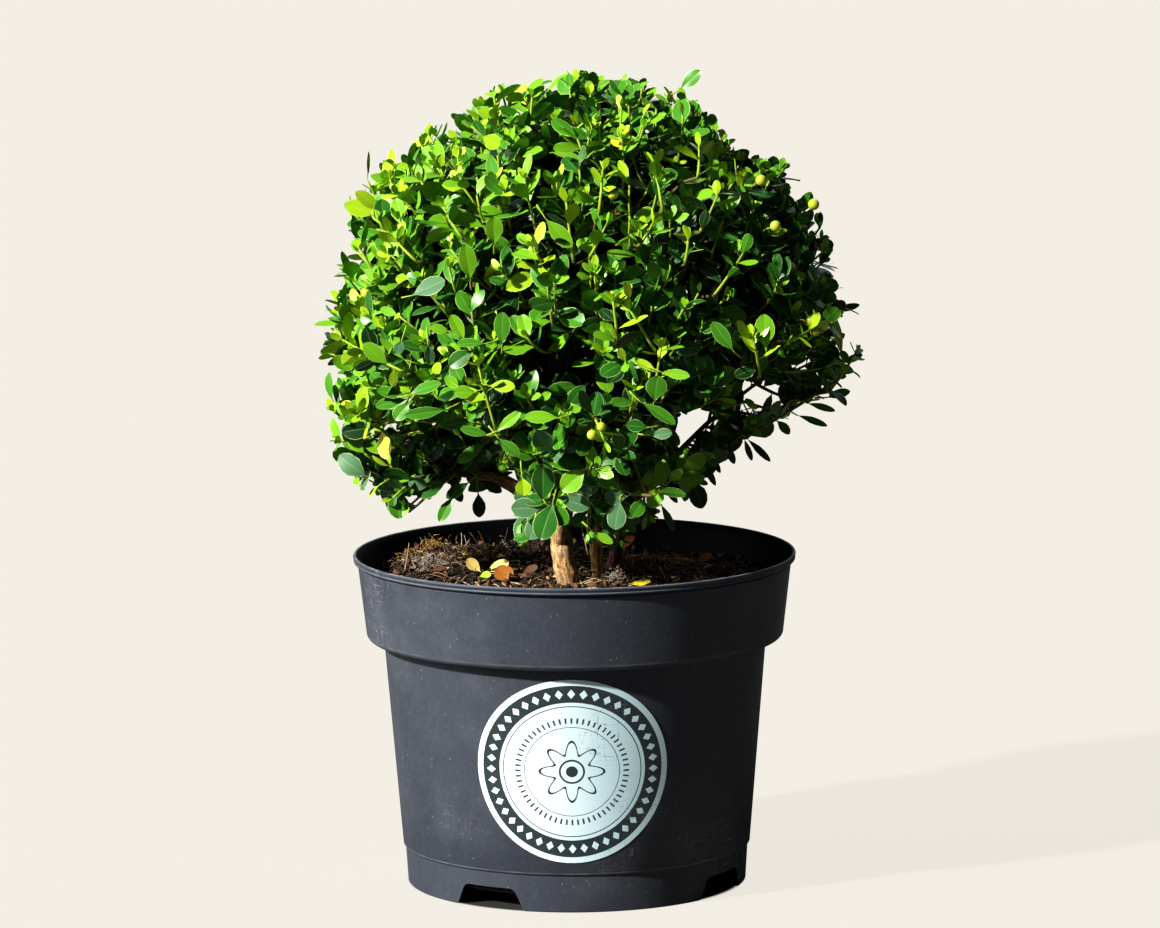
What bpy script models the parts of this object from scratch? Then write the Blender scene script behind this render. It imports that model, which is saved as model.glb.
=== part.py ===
"""Japanese holly, clipped to a dome, in a round black nursery pot.

Metres, +Z up. The origin is the middle of the pot's flat underside, and the face of
the pot that carries the label looks along -Y. Every limb and mass of foliage is
worked out from the sizes below by the functions that follow them.
"""
import math
import random

import bmesh
import bpy
from mathutils import Matrix, Vector
from mathutils.bvhtree import BVHTree

MM = 0.001
UP = Vector((0.0, 0.0, 1.0))
CLEARANCE = 0.3 * MM

# The pot: outside radii and heights
RIM_RADIUS = 130.0 * MM
POT_HEIGHT = 195.0 * MM
COLLAR_TOP_RADIUS = 127.4 * MM
COLLAR_LOW_RADIUS = 122.8 * MM
COLLAR_LOW_HEIGHT = 152.0 * MM
BODY_TOP_RADIUS = 112.4 * MM
BODY_TOP_HEIGHT = 145.0 * MM
HEEL_RADIUS = 102.3 * MM
HEEL_HEIGHT = 23.0 * MM
HEEL_STEP = 1.3 * MM
FOOT_RADIUS = 99.7 * MM
FOOT_WIDTH = 3.4 * MM
LIP_DEPTH = 4.2 * MM
WALL = 2.0 * MM
FLOOR_TOP = 10.0 * MM
DISH_RADIUS = 72.0 * MM
POT_SEGMENTS = 44

# The four drainage notches in the foot
NOTCH_COUNT = 4
NOTCH_FIRST_TURN = -31.0
NOTCH_HEIGHT = 13.0 * MM
NOTCH_TOP_WIDTH = 33.0 * MM
NOTCH_FOOT_WIDTH = 45.0 * MM
NOTCH_DEPTH = 12.0 * MM

# The round label on the front of the pot
LABEL_RADIUS = 56.0 * MM
LABEL_HEIGHT = 83.5 * MM
LABEL_TURN = -1.3
LABEL_THICKNESS = 0.5 * MM
LABEL_RINGS = 3
LABEL_SEGMENTS = 24

# The compost, heaped towards the back left
SOIL_HEIGHT = 176.5 * MM
SOIL_HEAP = 9.0 * MM
SOIL_ROUGHNESS = 2.0 * MM
SOIL_HEAP_X = -70.0 * MM
SOIL_HEAP_Y = 62.0 * MM
SOIL_HEAP_SPREAD = 52.0 * MM
SOIL_FLAT_RADIUS = 62.0 * MM
SOIL_BLEND = 20.0 * MM
SOIL_WALL_BLEND = 8.0 * MM
SOIL_WALL_GAP = 0.54 * MM
CLOD_ACROSS = 11.0 * MM
CLOD_ALONG = 9.0 * MM
CLOD_SLANT = 17.0 * MM
SOIL_SPOKES = 24
SOIL_RINGS = 5

# The crown: a clipped dome, widest a third of the way up
CROWN_X = 9.0 * MM
CROWN_Y = 4.0 * MM
CROWN_TOP = 478.0 * MM
CROWN_WIDEST = 315.0 * MM
CROWN_RADIUS = 149.0 * MM
CROWN_LOW = 212.0 * MM
CROWN_TUCK = 0.22
CROWN_ROUNDNESS = 2.2
CORE_SCALE = 0.72
CORE_MIDDLE = 336.0 * MM

# Where the dome swells out or is cut in: a middle, how far, and how broad, in millimetres
SWELLS = (
    ((-126.0, 0.0, 408.0), 11.0, 36.0),
    ((-148.0, 0.0, 326.0), 6.0, 24.0),
    ((86.0, 0.0, 447.0), -9.0, 32.0),
    ((142.0, 0.0, 390.0), 8.0, 30.0),
)

# The underside of the dome rises to the left, most of all at its front, to the right and to the back
LEFT_START = -30.0 * MM
LEFT_RUN = 22.0 * MM
LEFT_RISE = 45.0 * MM
FRONT_LEFT_RISE = 24.0 * MM
FRONT_START = -12.0 * MM
FRONT_RUN = 30.0 * MM
RIGHT_START = 40.0 * MM
RIGHT_RUN = 35.0 * MM
RIGHT_RISE = 84.0 * MM
BACK_START = 45.0 * MM
BACK_RUN = 30.0 * MM
BACK_RISE = 42.0 * MM
SPACE_GAP = 1.2 * MM

# The open sprays that hang under the raised underside
SPRAY_LOW = 217.0 * MM
SPRAY_LEFT_FRONT = -22.0 * MM
SPRAY_RIGHT_START = 62.0 * MM
SPRAY_RIGHT_SLOPE = 1.5
SPRAY_RIGHT_RISE = 28.0 * MM
SPRAY_FAR_SLOPE = 0.32
SPRAY_TWIGS = 13
SPRAY_TWIG_LEAVES = 5
SPRAY_FAN = 44.0 * MM
SPRAY_LEAN = 0.7

# Limbs: their sides, and how the ones that rise into the core are cut off before it
LIMB_SIDES = 8
CORE_GAP = 0.6 * MM
RISER_TIP_RADIUS = 1.8
RISER_STEPS = 60
RISER_SKIP = 10

# Leaves and twigs, larger than life because they are fewer
LEAF_LENGTH = 36.0 * MM
SPRAY_LEAF_LENGTH = 29.0 * MM
LEAF_SLIMNESS = 0.54
LEAF_BROADEST = 0.56
LEAF_THICKNESS = 1.3 * MM
LEAF_SUNK = 0.5 * MM
END_LEAF_SUNK = 1.6 * MM
TWIG_RADIUS = 1.7 * MM
TWIG_TIP_RADIUS = 1.0 * MM
BERRY_RADIUS = 3.6 * MM

# How the leaves turn round a twig: they stand off it at its foot and close up at its tip
GOLDEN_ANGLE = math.pi * (3.0 - math.sqrt(5.0))
FOOT_OPENING = 66.0
TIP_OPENING = 30.0
OPENING_SPREAD = 12.0
LEAF_ATTEMPTS = 6
ATTEMPT_SHRINK = 0.94

# The dome's twigs stand out of the core, and every few of them bear a side twig or a berry
CROWN_SEED = 10
CROWN_TWIGS = 114
CROWN_TWIG_LEAVES = 4
TWIG_SUNK = 7.0 * MM
SHORTEST_TWIG = 12.0 * MM
SIDE_TWIG_EVERY = 6
SIDE_TWIG_LEAVES = 2
SIDE_TWIG_LENGTH = 22.0 * MM
BERRY_EVERY = 9
DOME_LOW_ANGLE = 146.0
SPRIG_LEAVES = 3

# Tips of the shoots that the shears missed, furthest out of the dome
SPRIG_TIPS = (
    Vector((0.074, 0.002, 0.479)),
    Vector((0.169, -0.004, 0.339)),
    Vector((0.166, 0.010, 0.300)),
    Vector((-0.118, 0.006, 0.431)),
    Vector((-0.151, -0.006, 0.331)),
    Vector((0.020, -0.152, 0.350)),
    Vector((-0.010, 0.160, 0.345)),
)


def clear_scene():
    """Removes what Blender starts with."""
    for obj in list(bpy.data.objects):
        bpy.data.objects.remove(obj, do_unlink=True)


def material(name, colour, roughness):
    """A plain Principled BSDF in this colour."""
    made = bpy.data.materials.new(name)
    made.use_nodes = True
    shader = made.node_tree.nodes["Principled BSDF"]
    shader.inputs["Base Color"].default_value = (*colour, 1.0)
    shader.inputs["Roughness"].default_value = roughness
    shader.inputs["Metallic"].default_value = 0.0
    made.diffuse_color = (*colour, 1.0)
    return made


def new_object(name, shape, finish):
    """An object that holds this bmesh, at the origin."""
    mesh = bpy.data.meshes.new(name)
    bmesh.ops.recalc_face_normals(shape, faces=shape.faces)
    shape.to_mesh(mesh)
    shape.free()
    mesh.materials.append(finish)
    obj = bpy.data.objects.new(name, mesh)
    bpy.context.scene.collection.objects.link(obj)
    return obj


def smooth_round(obj, angle=40.0):
    """Shades the object smooth where its faces meet at less than this angle."""
    obj.data.shade_smooth()
    obj.data.set_sharp_from_angle(angle=math.radians(angle))


def arc(centre, radius, start, end, steps):
    """Points (r, z) on an arc, from one angle to another in degrees; radius is (across, up)."""
    points = []
    for step in range(steps + 1):
        angle = math.radians(start + (end - start) * step / steps)
        points.append((centre[0] + radius[0] * math.cos(angle), centre[1] + radius[1] * math.sin(angle)))
    return points


def turned(profile, segments):
    """A solid turned round the Z axis from a profile of (r, z) points that ends on the axis."""
    shape = bmesh.new()
    verts = [shape.verts.new((r, 0.0, z)) for r, z in profile]
    edges = [shape.edges.new(pair) for pair in zip(verts, verts[1:])]
    bmesh.ops.spin(
        shape, geom=verts + edges, cent=(0.0, 0.0, 0.0), axis=UP,
        angle=math.tau, steps=segments, use_merge=True,
    )
    bmesh.ops.remove_doubles(shape, verts=shape.verts, dist=0.001 * MM)
    return shape


def wall_radius(height):
    """Outside radius of the pot's body at this height."""
    share = (height - HEEL_HEIGHT) / (BODY_TOP_HEIGHT - HEEL_HEIGHT)
    return HEEL_RADIUS + (BODY_TOP_RADIUS - HEEL_RADIUS) * share


def inner_wall():
    """Inside of the pot from its lip down to the floor, as (r, z) points."""
    return [
        (COLLAR_TOP_RADIUS - WALL, POT_HEIGHT - LIP_DEPTH),
        (COLLAR_LOW_RADIUS - WALL, COLLAR_LOW_HEIGHT + WALL),
        (BODY_TOP_RADIUS - WALL, BODY_TOP_HEIGHT + WALL),
        (HEEL_RADIUS - WALL, HEEL_HEIGHT),
        (FOOT_RADIUS - 1.2 * WALL, FLOOR_TOP),
        (DISH_RADIUS + WALL, FLOOR_TOP),
        (DISH_RADIUS - WALL, WALL),
    ]


def pot_profile():
    """Section of the pot's wall and floor, from the middle of the underside outwards."""
    across = COLLAR_LOW_RADIUS - BODY_TOP_RADIUS
    up = COLLAR_LOW_HEIGHT - BODY_TOP_HEIGHT
    shoulder = arc((BODY_TOP_RADIUS, COLLAR_LOW_HEIGHT), (across, up), -90.0, 0.0, 3)
    lip_width = RIM_RADIUS - COLLAR_TOP_RADIUS
    lip = arc((COLLAR_TOP_RADIUS, POT_HEIGHT - LIP_DEPTH / 2), (lip_width, LIP_DEPTH / 2), -60.0, 120.0, 4)
    foot_inner = FOOT_RADIUS - FOOT_WIDTH
    channel_top = FLOOR_TOP - WALL
    outline = [
        (0.0, 0.0),
        (DISH_RADIUS, 0.0),
        (DISH_RADIUS + WALL, channel_top),
        (foot_inner - WALL / 2, channel_top),
        (foot_inner, 0.0),
        (FOOT_RADIUS - WALL / 4, 0.0),
        (FOOT_RADIUS, WALL / 4),
        (HEEL_RADIUS - HEEL_STEP, HEEL_HEIGHT - HEEL_STEP),
        (HEEL_RADIUS, HEEL_HEIGHT),
    ]
    return outline + shoulder + lip + inner_wall() + [(0.0, WALL)]


def notch_cutter(number):
    """A trapezium block that cuts one notch through the foot ring and the wall's foot."""
    turn = math.radians(NOTCH_FIRST_TURN + 360.0 * number / NOTCH_COUNT)
    overshoot = 2.0 * MM
    slope = (NOTCH_FOOT_WIDTH - NOTCH_TOP_WIDTH) / 2 / NOTCH_HEIGHT
    low = -NOTCH_FOOT_WIDTH / 2 - slope * overshoot
    high = -NOTCH_TOP_WIDTH / 2
    shape = bmesh.new()
    outer = -(FOOT_RADIUS + 3 * overshoot)
    corners = ((low, -overshoot), (-low, -overshoot), (-high, NOTCH_HEIGHT), (high, NOTCH_HEIGHT))
    face = shape.faces.new([shape.verts.new((x, outer, z)) for x, z in corners])
    pushed = bmesh.ops.extrude_face_region(shape, geom=[face])
    moved = [item for item in pushed["geom"] if isinstance(item, bmesh.types.BMVert)]
    bmesh.ops.translate(shape, verts=moved, vec=(0.0, NOTCH_DEPTH + 2 * overshoot, 0.0))
    tops = [edge for edge in shape.edges if abs(edge.verts[0].co.z - edge.verts[1].co.z) < MM
            and abs(edge.verts[0].co.x - edge.verts[1].co.x) < MM and edge.verts[0].co.z > 0.0]
    bmesh.ops.bevel(
        shape, geom=tops, offset=2.5 * MM, segments=2, profile=0.5, affect="EDGES", material=-1,
    )
    bmesh.ops.rotate(shape, verts=shape.verts, cent=(0.0, 0.0, 0.0), matrix=Matrix.Rotation(turn, 3, "Z"))
    return shape


def make_pot(finish):
    """The pot: a turned shell with its notches cut by live Boolean modifiers."""
    pot = new_object("pot", turned(pot_profile(), POT_SEGMENTS), finish)
    smooth_round(pot)
    for number in range(NOTCH_COUNT):
        cutter = new_object(f"notch_cutter_{number + 1}", notch_cutter(number), finish)
        cutter.hide_render = True
        cutter.display_type = "WIRE"
        cut = pot.modifiers.new(f"notch_{number + 1}", "BOOLEAN")
        cut.operation = "DIFFERENCE"
        cut.object = cutter
        cut.solver = "EXACT"
    return pot


def smoothstep(value):
    """0 below 0, 1 above 1, and an easy curve between."""
    share = min(max(value, 0.0), 1.0)
    return share * share * (3.0 - 2.0 * share)


def soil_surface(x, y):
    """Height of the compost here: flat round the stems, a heap at the back left, and clods."""
    radius = math.hypot(x, y)
    away = math.hypot(x - SOIL_HEAP_X, y - SOIL_HEAP_Y) / SOIL_HEAP_SPREAD
    heap = SOIL_HEAP * math.exp(-away * away)
    clods = math.sin(x / CLOD_ACROSS + 1.3) * math.cos(y / CLOD_ALONG) + math.sin((x + y) / CLOD_SLANT)
    off_centre = smoothstep((radius - SOIL_FLAT_RADIUS) / SOIL_BLEND)
    off_wall = smoothstep((COLLAR_LOW_RADIUS - WALL - radius) / SOIL_WALL_BLEND)
    return SOIL_HEIGHT + off_centre * (heap + SOIL_ROUGHNESS * clods * off_wall)


def make_soil(finish):
    """The compost: fills the pot inside its wall and floor, with an uneven top."""
    rim, collar_foot = inner_wall()[:2]
    share = (SOIL_HEIGHT - collar_foot[1]) / (rim[1] - collar_foot[1])
    edge = collar_foot[0] + (rim[0] - collar_foot[0]) * share
    side = [*reversed(inner_wall()[1:]), (edge, SOIL_HEIGHT)]
    outline = [(0.0, side[0][1] + CLEARANCE)]
    for radius, height in side:
        lift = CLEARANCE if height <= FLOOR_TOP else 0.0
        outline.append((radius - SOIL_WALL_GAP, height + lift))
    for ring in range(1, SOIL_RINGS + 1):
        outline.append((edge * (1.0 - ring / SOIL_RINGS), SOIL_HEIGHT))
    shape = turned(outline, SOIL_SPOKES)
    for vert in shape.verts:
        if vert.co.z > SOIL_HEIGHT - MM:
            vert.co.z = soil_surface(vert.co.x, vert.co.y)
    return new_object("soil", shape, finish)


def make_label(finish):
    """The label: a thin round disc bent to the pot's sloping wall."""
    slope = math.atan2(BODY_TOP_RADIUS - HEEL_RADIUS, BODY_TOP_HEIGHT - HEEL_HEIGHT)
    back = [(LABEL_RADIUS * ring / LABEL_RINGS, 0.0) for ring in range(LABEL_RINGS + 1)]
    front = [(radius, LABEL_THICKNESS) for radius, _ in reversed(back)]
    shape = turned(back + front, LABEL_SEGMENTS)
    for vert in shape.verts:
        across, along, proud = vert.co
        height = LABEL_HEIGHT + along * math.cos(slope)
        turn = math.radians(LABEL_TURN) + across / wall_radius(LABEL_HEIGHT)
        radius = wall_radius(height) + 2.0 * CLEARANCE + proud
        vert.co = (radius * math.sin(turn), -radius * math.cos(turn), height)
    return new_object("label", shape, finish)


def bent_path(start, end, bend, steps=6):
    """Points on a smooth curve from start to end that bows out by bend at its middle."""
    middle = (start + end) / 2 + bend * 2.0
    points = []
    for step in range(steps + 1):
        share = step / steps
        near = start.lerp(middle, share)
        far = middle.lerp(end, share)
        points.append(near.lerp(far, share))
    return points


def direction_at(points, number):
    """Which way the path runs at this point."""
    before = points[max(number - 1, 0)]
    after = points[min(number + 1, len(points) - 1)]
    return (after - before).normalized()


def limb_shape(points, radii, sides, level_foot=False):
    """A tapering limb: rings along the path, bridged, with flat ends."""
    shape = bmesh.new()
    rings = []
    for number, (point, radius) in enumerate(zip(points, radii)):
        heading = direction_at(points, number)
        if number == 0 and level_foot:
            heading = UP.copy()
        place = Matrix.Translation(point) @ heading.to_track_quat("Z", "Y").to_matrix().to_4x4()
        made = bmesh.ops.create_circle(shape, cap_ends=False, segments=sides, radius=radius, matrix=place)
        ring = made["verts"]
        rings.append([edge for edge in shape.edges if edge.verts[0] in ring and edge.verts[1] in ring])
    for lower, upper in zip(rings, rings[1:]):
        bmesh.ops.bridge_loops(shape, edges=lower + upper)
    bmesh.ops.contextual_create(shape, geom=rings[0])
    bmesh.ops.contextual_create(shape, geom=rings[-1])
    return shape


class Limb:
    """A stem or bough: its path and its radius along it."""

    def __init__(self, name, points, root_radius, tip_radius, flare=0.0):
        self.name = name
        self.points = points
        last = len(points) - 1
        self.radii = [root_radius + (tip_radius - root_radius) * step / last for step in range(last + 1)]
        self.radii[0] += flare
        self.flare = flare

    def at(self, height):
        """The point on a rising limb's path at this height, and the radius there."""
        number = 0
        while number < len(self.points) - 2 and self.points[number + 1].z < height:
            number += 1
        low, high = self.points[number], self.points[number + 1]
        share = (height - low.z) / (high.z - low.z)
        radius = self.radii[number] + (self.radii[number + 1] - self.radii[number]) * share
        return low.lerp(high, share), radius

    def touches(self, point, margin):
        """True where the point lies in the limb or less than margin from it."""
        for number in range(len(self.points) - 1):
            start = self.points[number]
            run = self.points[number + 1] - start
            share = min(max((point - start).dot(run) / run.length_squared, 0.0), 1.0)
            if (point - start - run * share).length < self.radii[number] + margin:
                return True
        return False

    def shape(self, sides, grow=0.0):
        """The limb's own solid, or one that is thicker by grow."""
        radii = [radius + grow for radius in self.radii]
        return limb_shape(self.points, radii, sides, level_foot=self.flare > 0.0)


def vector_mm(x, y, z):
    """A point given in millimetres."""
    return Vector((x * MM, y * MM, z * MM))


def crown_radius(height):
    """How far the clipped dome reaches from its axis at this height."""
    if height >= CROWN_TOP:
        return 0.0
    if height >= CROWN_WIDEST:
        share = (height - CROWN_WIDEST) / (CROWN_TOP - CROWN_WIDEST)
        return CROWN_RADIUS * math.sqrt(1.0 - share ** CROWN_ROUNDNESS)
    share = (CROWN_WIDEST - height) / (CROWN_WIDEST - CROWN_LOW)
    return CROWN_RADIUS * (1.0 - CROWN_TUCK * share ** 4)


def underside(x, y):
    """Lowest height of the clipped dome here: it rises to the left, the right and the back."""
    front = FRONT_LEFT_RISE * smoothstep((FRONT_START - y) / FRONT_RUN)
    left = (LEFT_RISE + front) * smoothstep((LEFT_START - x) / LEFT_RUN)
    right = RIGHT_RISE * smoothstep((x - RIGHT_START) / RIGHT_RUN)
    back = BACK_RISE * smoothstep((y - BACK_START) / BACK_RUN)
    return CROWN_LOW + max(left, right, back)


def off_axis(point):
    """Distance from the crown's upright axis."""
    return math.hypot(point.x - CROWN_X, point.y - CROWN_Y)


def swell(point):
    """How far the dome stands out of its even outline here, or is cut in where it is negative."""
    total = 0.0
    for middle, amount, breadth in SWELLS:
        away = (point - vector_mm(*middle)).length / (breadth * MM)
        total += amount * MM * math.exp(-away * away)
    return total


def in_outline(point):
    """True within the dome's outline from the side."""
    return off_axis(point) < crown_radius(point.z) + swell(point)


def in_crown(point):
    """True inside the clipped dome."""
    return point.z > underside(point.x, point.y) + SPACE_GAP and in_outline(point)


def spray_floor(x):
    """Lowest height of the open sprays here: it climbs steeply on the right, then gently."""
    over = max(x - SPRAY_RIGHT_START, 0.0)
    return SPRAY_LOW + min(over * SPRAY_RIGHT_SLOPE, SPRAY_RIGHT_RISE + over * SPRAY_FAR_SLOPE)


def under_crown(point):
    """True in the space below the dome's raised underside, above the sprays' lowest height."""
    high = underside(point.x, point.y) - SPACE_GAP
    in_front = point.x < 0.0 and point.y < SPRAY_LEFT_FRONT
    return spray_floor(point.x) < point.z < high and in_outline(point) and not in_front


def ray_reach(origin, heading, inside):
    """How far along this heading the space goes on."""
    reach = 0.0
    step = 1.0 * MM
    while inside(origin + heading * (reach + step)) and reach < 2.0 * CROWN_RADIUS:
        reach += step
    return reach


def core_shape():
    """The core: a ball whose points are drawn out to the dome's outline, scaled in."""
    shape = bmesh.new()
    bmesh.ops.create_uvsphere(shape, u_segments=16, v_segments=10, radius=MM)
    middle = Vector((CROWN_X, CROWN_Y, CORE_MIDDLE))
    for vert in shape.verts:
        heading = vert.co.normalized()
        vert.co = middle + heading * ray_reach(middle, heading, in_crown) * CORE_SCALE
    return shape


# The core is the first piece of the dome
CORE = 0


class Mass:
    """One mass of foliage that keeps to its own space and clear of the limbs."""

    def __init__(self, name, space, limbs, seed):
        self.name = name
        self.space = space
        self.limbs = limbs
        self.limb_trees = [BVHTree.FromBMesh(limb.shape(LIMB_SIDES, CLEARANCE)) for limb in limbs]
        self.random = random.Random(seed)
        self.shapes = []
        self.placed = []
        self.leaf_length = LEAF_LENGTH

    def free(self, point, margin=2.0 * MM):
        """True where foliage may be."""
        return self.space(point) and not any(limb.touches(point, margin) for limb in self.limbs)

    def crossed(self, shape, middle, carriers):
        """True where this shape would cut through a limb, or through a piece that doesn't carry it."""
        tree = BVHTree.FromBMesh(shape)
        if any(tree.overlap(other) for other in self.limb_trees):
            return True
        for number, (other_middle, other_reach, other) in enumerate(self.placed):
            near = (other_middle - middle).length < other_reach + LEAF_LENGTH
            if near and number not in carriers and tree.overlap(other):
                return True
        return False

    def keep(self, shape, middle, reach):
        """Adds this shape to the mass and remembers the room that it takes."""
        self.shapes.append(shape)
        self.placed.append((middle, reach, BVHTree.FromBMesh(shape)))

    def leaf(self, root, heading, side, length, twig, sunk=LEAF_SUNK):
        """A leaf of eight faces from its root on a twig, or none where it has no room."""
        face = side.cross(heading)
        middle = root + heading * length * LEAF_BROADEST
        corners = [
            root + heading * length,
            middle + side * LEAF_SLIMNESS * length / 2,
            middle - side * LEAF_SLIMNESS * length / 2,
            middle + face * LEAF_THICKNESS / 2,
            middle - face * LEAF_THICKNESS / 2,
        ]
        if not all(self.free(corner) for corner in corners):
            return False
        shape = bmesh.new()
        for corner in [root - heading * sunk, *corners]:
            shape.verts.new(corner)
        bmesh.ops.convex_hull(shape, input=shape.verts)
        if self.crossed(shape, middle, (twig,)):
            return False
        self.keep(shape, middle, length / 2)
        return True

    def twig(self, start, end, carriers):
        """A three-sided twig, or None where it would cut through another piece."""
        run = end - start
        place = Matrix.Translation((start + end) / 2) @ run.to_track_quat("Z", "Y").to_matrix().to_4x4()
        shape = bmesh.new()
        bmesh.ops.create_cone(
            shape, cap_ends=True, segments=3, radius1=TWIG_RADIUS, radius2=TWIG_TIP_RADIUS,
            depth=run.length, matrix=place,
        )
        if self.crossed(shape, (start + end) / 2, carriers):
            return None
        self.keep(shape, (start + end) / 2, run.length / 2)
        return len(self.placed) - 1

    def leafy_twig(self, start, end, count, bare, carriers=(), end_length=None):
        """A twig with a leaf at its end and others in a spiral round it, bare near its root."""
        twig = self.twig(start, end, carriers)
        if twig is None:
            return None
        axis = (end - start).normalized()
        spin = Matrix.Rotation(self.random.uniform(0.0, math.tau), 3, axis)
        across = spin @ axis.orthogonal().normalized()
        self.leaf(end, axis, across, end_length or self.leaf_length, twig, END_LEAF_SUNK)
        for number in range(count):
            share = bare + (1.0 - bare) * (number + 0.5) / count
            root = start.lerp(end, share)
            length = self.leaf_length * self.random.uniform(0.82, 1.08)
            usual = FOOT_OPENING + (TIP_OPENING - FOOT_OPENING) * share
            for attempt in range(LEAF_ATTEMPTS):
                opening = math.radians(usual + self.random.uniform(-OPENING_SPREAD, OPENING_SPREAD))
                turn = GOLDEN_ANGLE * number + self.random.uniform(-0.3, 0.3) * attempt
                outward = Matrix.Rotation(turn, 3, axis) @ across
                heading = axis * math.cos(opening) + outward * math.sin(opening)
                side = axis.cross(outward)
                if self.leaf(root, heading, side, length * ATTEMPT_SHRINK ** attempt, twig):
                    break
        return twig

    def berry(self, twig_point, heading):
        """A round berry that sits on its twig."""
        middle = twig_point + heading * BERRY_RADIUS
        if not self.free(middle, BERRY_RADIUS + MM):
            return
        shape = bmesh.new()
        bmesh.ops.create_icosphere(
            shape, subdivisions=1, radius=BERRY_RADIUS, matrix=Matrix.Translation(middle),
        )
        self.keep(shape, middle, BERRY_RADIUS)

    def join(self, stem, finish):
        """Joins everything grown so far to the mass's stem by one Boolean union."""
        whole = new_object(self.name, stem.shape(LIMB_SIDES), finish)
        parts = bpy.data.collections.new(self.name + "_parts")
        for number, shape in enumerate(self.shapes):
            piece = new_object(f"{self.name}_piece_{number}", shape, finish)
            bpy.context.scene.collection.objects.unlink(piece)
            parts.objects.link(piece)
        bpy.context.scene.collection.children.link(parts)
        union = whole.modifiers.new("union", "BOOLEAN")
        union.operation = "UNION"
        union.operand_type = "COLLECTION"
        union.collection = parts
        union.solver = "MANIFOLD"
        bpy.context.view_layer.update()
        graph = bpy.context.evaluated_depsgraph_get()
        joined = bpy.data.meshes.new_from_object(whole.evaluated_get(graph))
        whole.modifiers.clear()
        whole.data = joined
        for piece in list(parts.objects):
            bpy.data.objects.remove(piece, do_unlink=True)
        bpy.data.collections.remove(parts)
        keep_one_body(joined)
        return whole


def keep_one_body(mesh):
    """Keeps the mesh's one outer body: hollows that the union sealed and loose scraps go."""
    shape = bmesh.new()
    shape.from_mesh(mesh)
    bmesh.ops.triangulate(shape, faces=shape.faces)
    unseen = set(shape.verts)
    bodies = []
    while unseen:
        body = set()
        queue = [unseen.pop()]
        while queue:
            vert = queue.pop()
            body.add(vert)
            for edge in vert.link_edges:
                other = edge.other_vert(vert)
                if other in unseen:
                    unseen.discard(other)
                    queue.append(other)
        bodies.append(body)
    bodies.sort(key=len, reverse=True)
    for scrap in bodies[1:]:
        bmesh.ops.delete(shape, geom=list(scrap), context="VERTS")
    shape.to_mesh(mesh)
    shape.free()


def dome_heading(number, count):
    """The number-th of count headings that lie evenly over the dome, its underside too."""
    lowest = math.cos(math.radians(DOME_LOW_ANGLE))
    up = 1.0 - (number + 0.5) / count * (1.0 - lowest)
    turn = GOLDEN_ANGLE * number
    out = math.sqrt(1.0 - up * up)
    return Vector((out * math.cos(turn), out * math.sin(turn), up))


def grow_crown(mass):
    """Leafy twigs that stand out of the core evenly; some fork, and some bear a berry."""
    middle = Vector((CROWN_X, CROWN_Y, CORE_MIDDLE))
    for number in range(CROWN_TWIGS):
        heading = dome_heading(number, CROWN_TWIGS)
        reach = ray_reach(middle, heading, in_crown)
        start = middle + heading * (reach * CORE_SCALE - TWIG_SUNK)
        length = max(reach * (1.0 - CORE_SCALE) + TWIG_SUNK - LEAF_LENGTH, SHORTEST_TWIG)
        end = start + heading * length
        if not all(mass.free(start.lerp(end, step / 4)) for step in range(1, 5)):
            continue
        end_length = (middle + heading * reach - end).length - MM
        twig = mass.leafy_twig(start, end, CROWN_TWIG_LEAVES, 0.35, (CORE,), end_length)
        if twig is None:
            continue
        across = heading.orthogonal().normalized()
        lean = Matrix.Rotation(mass.random.uniform(0.0, math.tau), 3, heading) @ across
        if number % SIDE_TWIG_EVERY == 0:
            fork = start.lerp(end, 0.6)
            side_end = fork + (heading * 0.6 + lean).normalized() * SIDE_TWIG_LENGTH
            if mass.free(side_end):
                mass.leafy_twig(fork, side_end, SIDE_TWIG_LEAVES, 0.4, (CORE, twig))
        if number % BERRY_EVERY == BERRY_EVERY // 2:
            mass.berry(start.lerp(end, 0.9), lean)


def above_underside(point):
    """True above the dome's underside, also outside the dome's outline."""
    return point.z > underside(point.x, point.y) + SPACE_GAP


def grow_sprigs(mass):
    """The few shoots that the shears missed, which reach furthest out of the dome."""
    middle = Vector((CROWN_X, CROWN_Y, CORE_MIDDLE))
    mass.space = above_underside
    for tip in SPRIG_TIPS:
        heading = (tip - middle).normalized()
        start = middle + heading * (ray_reach(middle, heading, in_crown) * CORE_SCALE - TWIG_SUNK)
        end = tip - heading * LEAF_LENGTH
        mass.leafy_twig(start, end, SPRIG_LEAVES, 0.5, (CORE,))
    mass.space = in_crown


def grow_spray(mass, stem, count, leaves, fan):
    """Leafy twigs in a spiral along the mass's stem, with one at its end."""
    last = len(stem.points) - 1
    for number in range(count):
        place = last * (number + 1.0) / count
        lower = min(int(place), last - 1)
        root = stem.points[lower].lerp(stem.points[lower + 1], place - lower)
        along = direction_at(stem.points, lower)
        outward = Matrix.Rotation(GOLDEN_ANGLE * number, 3, along) @ along.cross(UP).normalized()
        if number == count - 1:
            outward = Vector()
        heading = (along * SPRAY_LEAN + outward).normalized()
        length = fan * mass.random.uniform(0.85, 1.05)
        while length > SHORTEST_TWIG and not mass.free(root + heading * (length + END_LEAF_SUNK), MM):
            length -= 3.0 * MM
        if length > SHORTEST_TWIG:
            mass.leafy_twig(root, root + heading * length, leaves, 0.1)


def limb_between(name, start, end, bend, root_radius, tip_radius, flare=0.0, steps=6):
    """A tapering limb from start to end, bowed by bend; points and radii in millimetres."""
    points = bent_path(vector_mm(*start), vector_mm(*end), vector_mm(*bend), steps)
    return Limb(name, points, root_radius * MM, tip_radius * MM, flare * MM)


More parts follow.
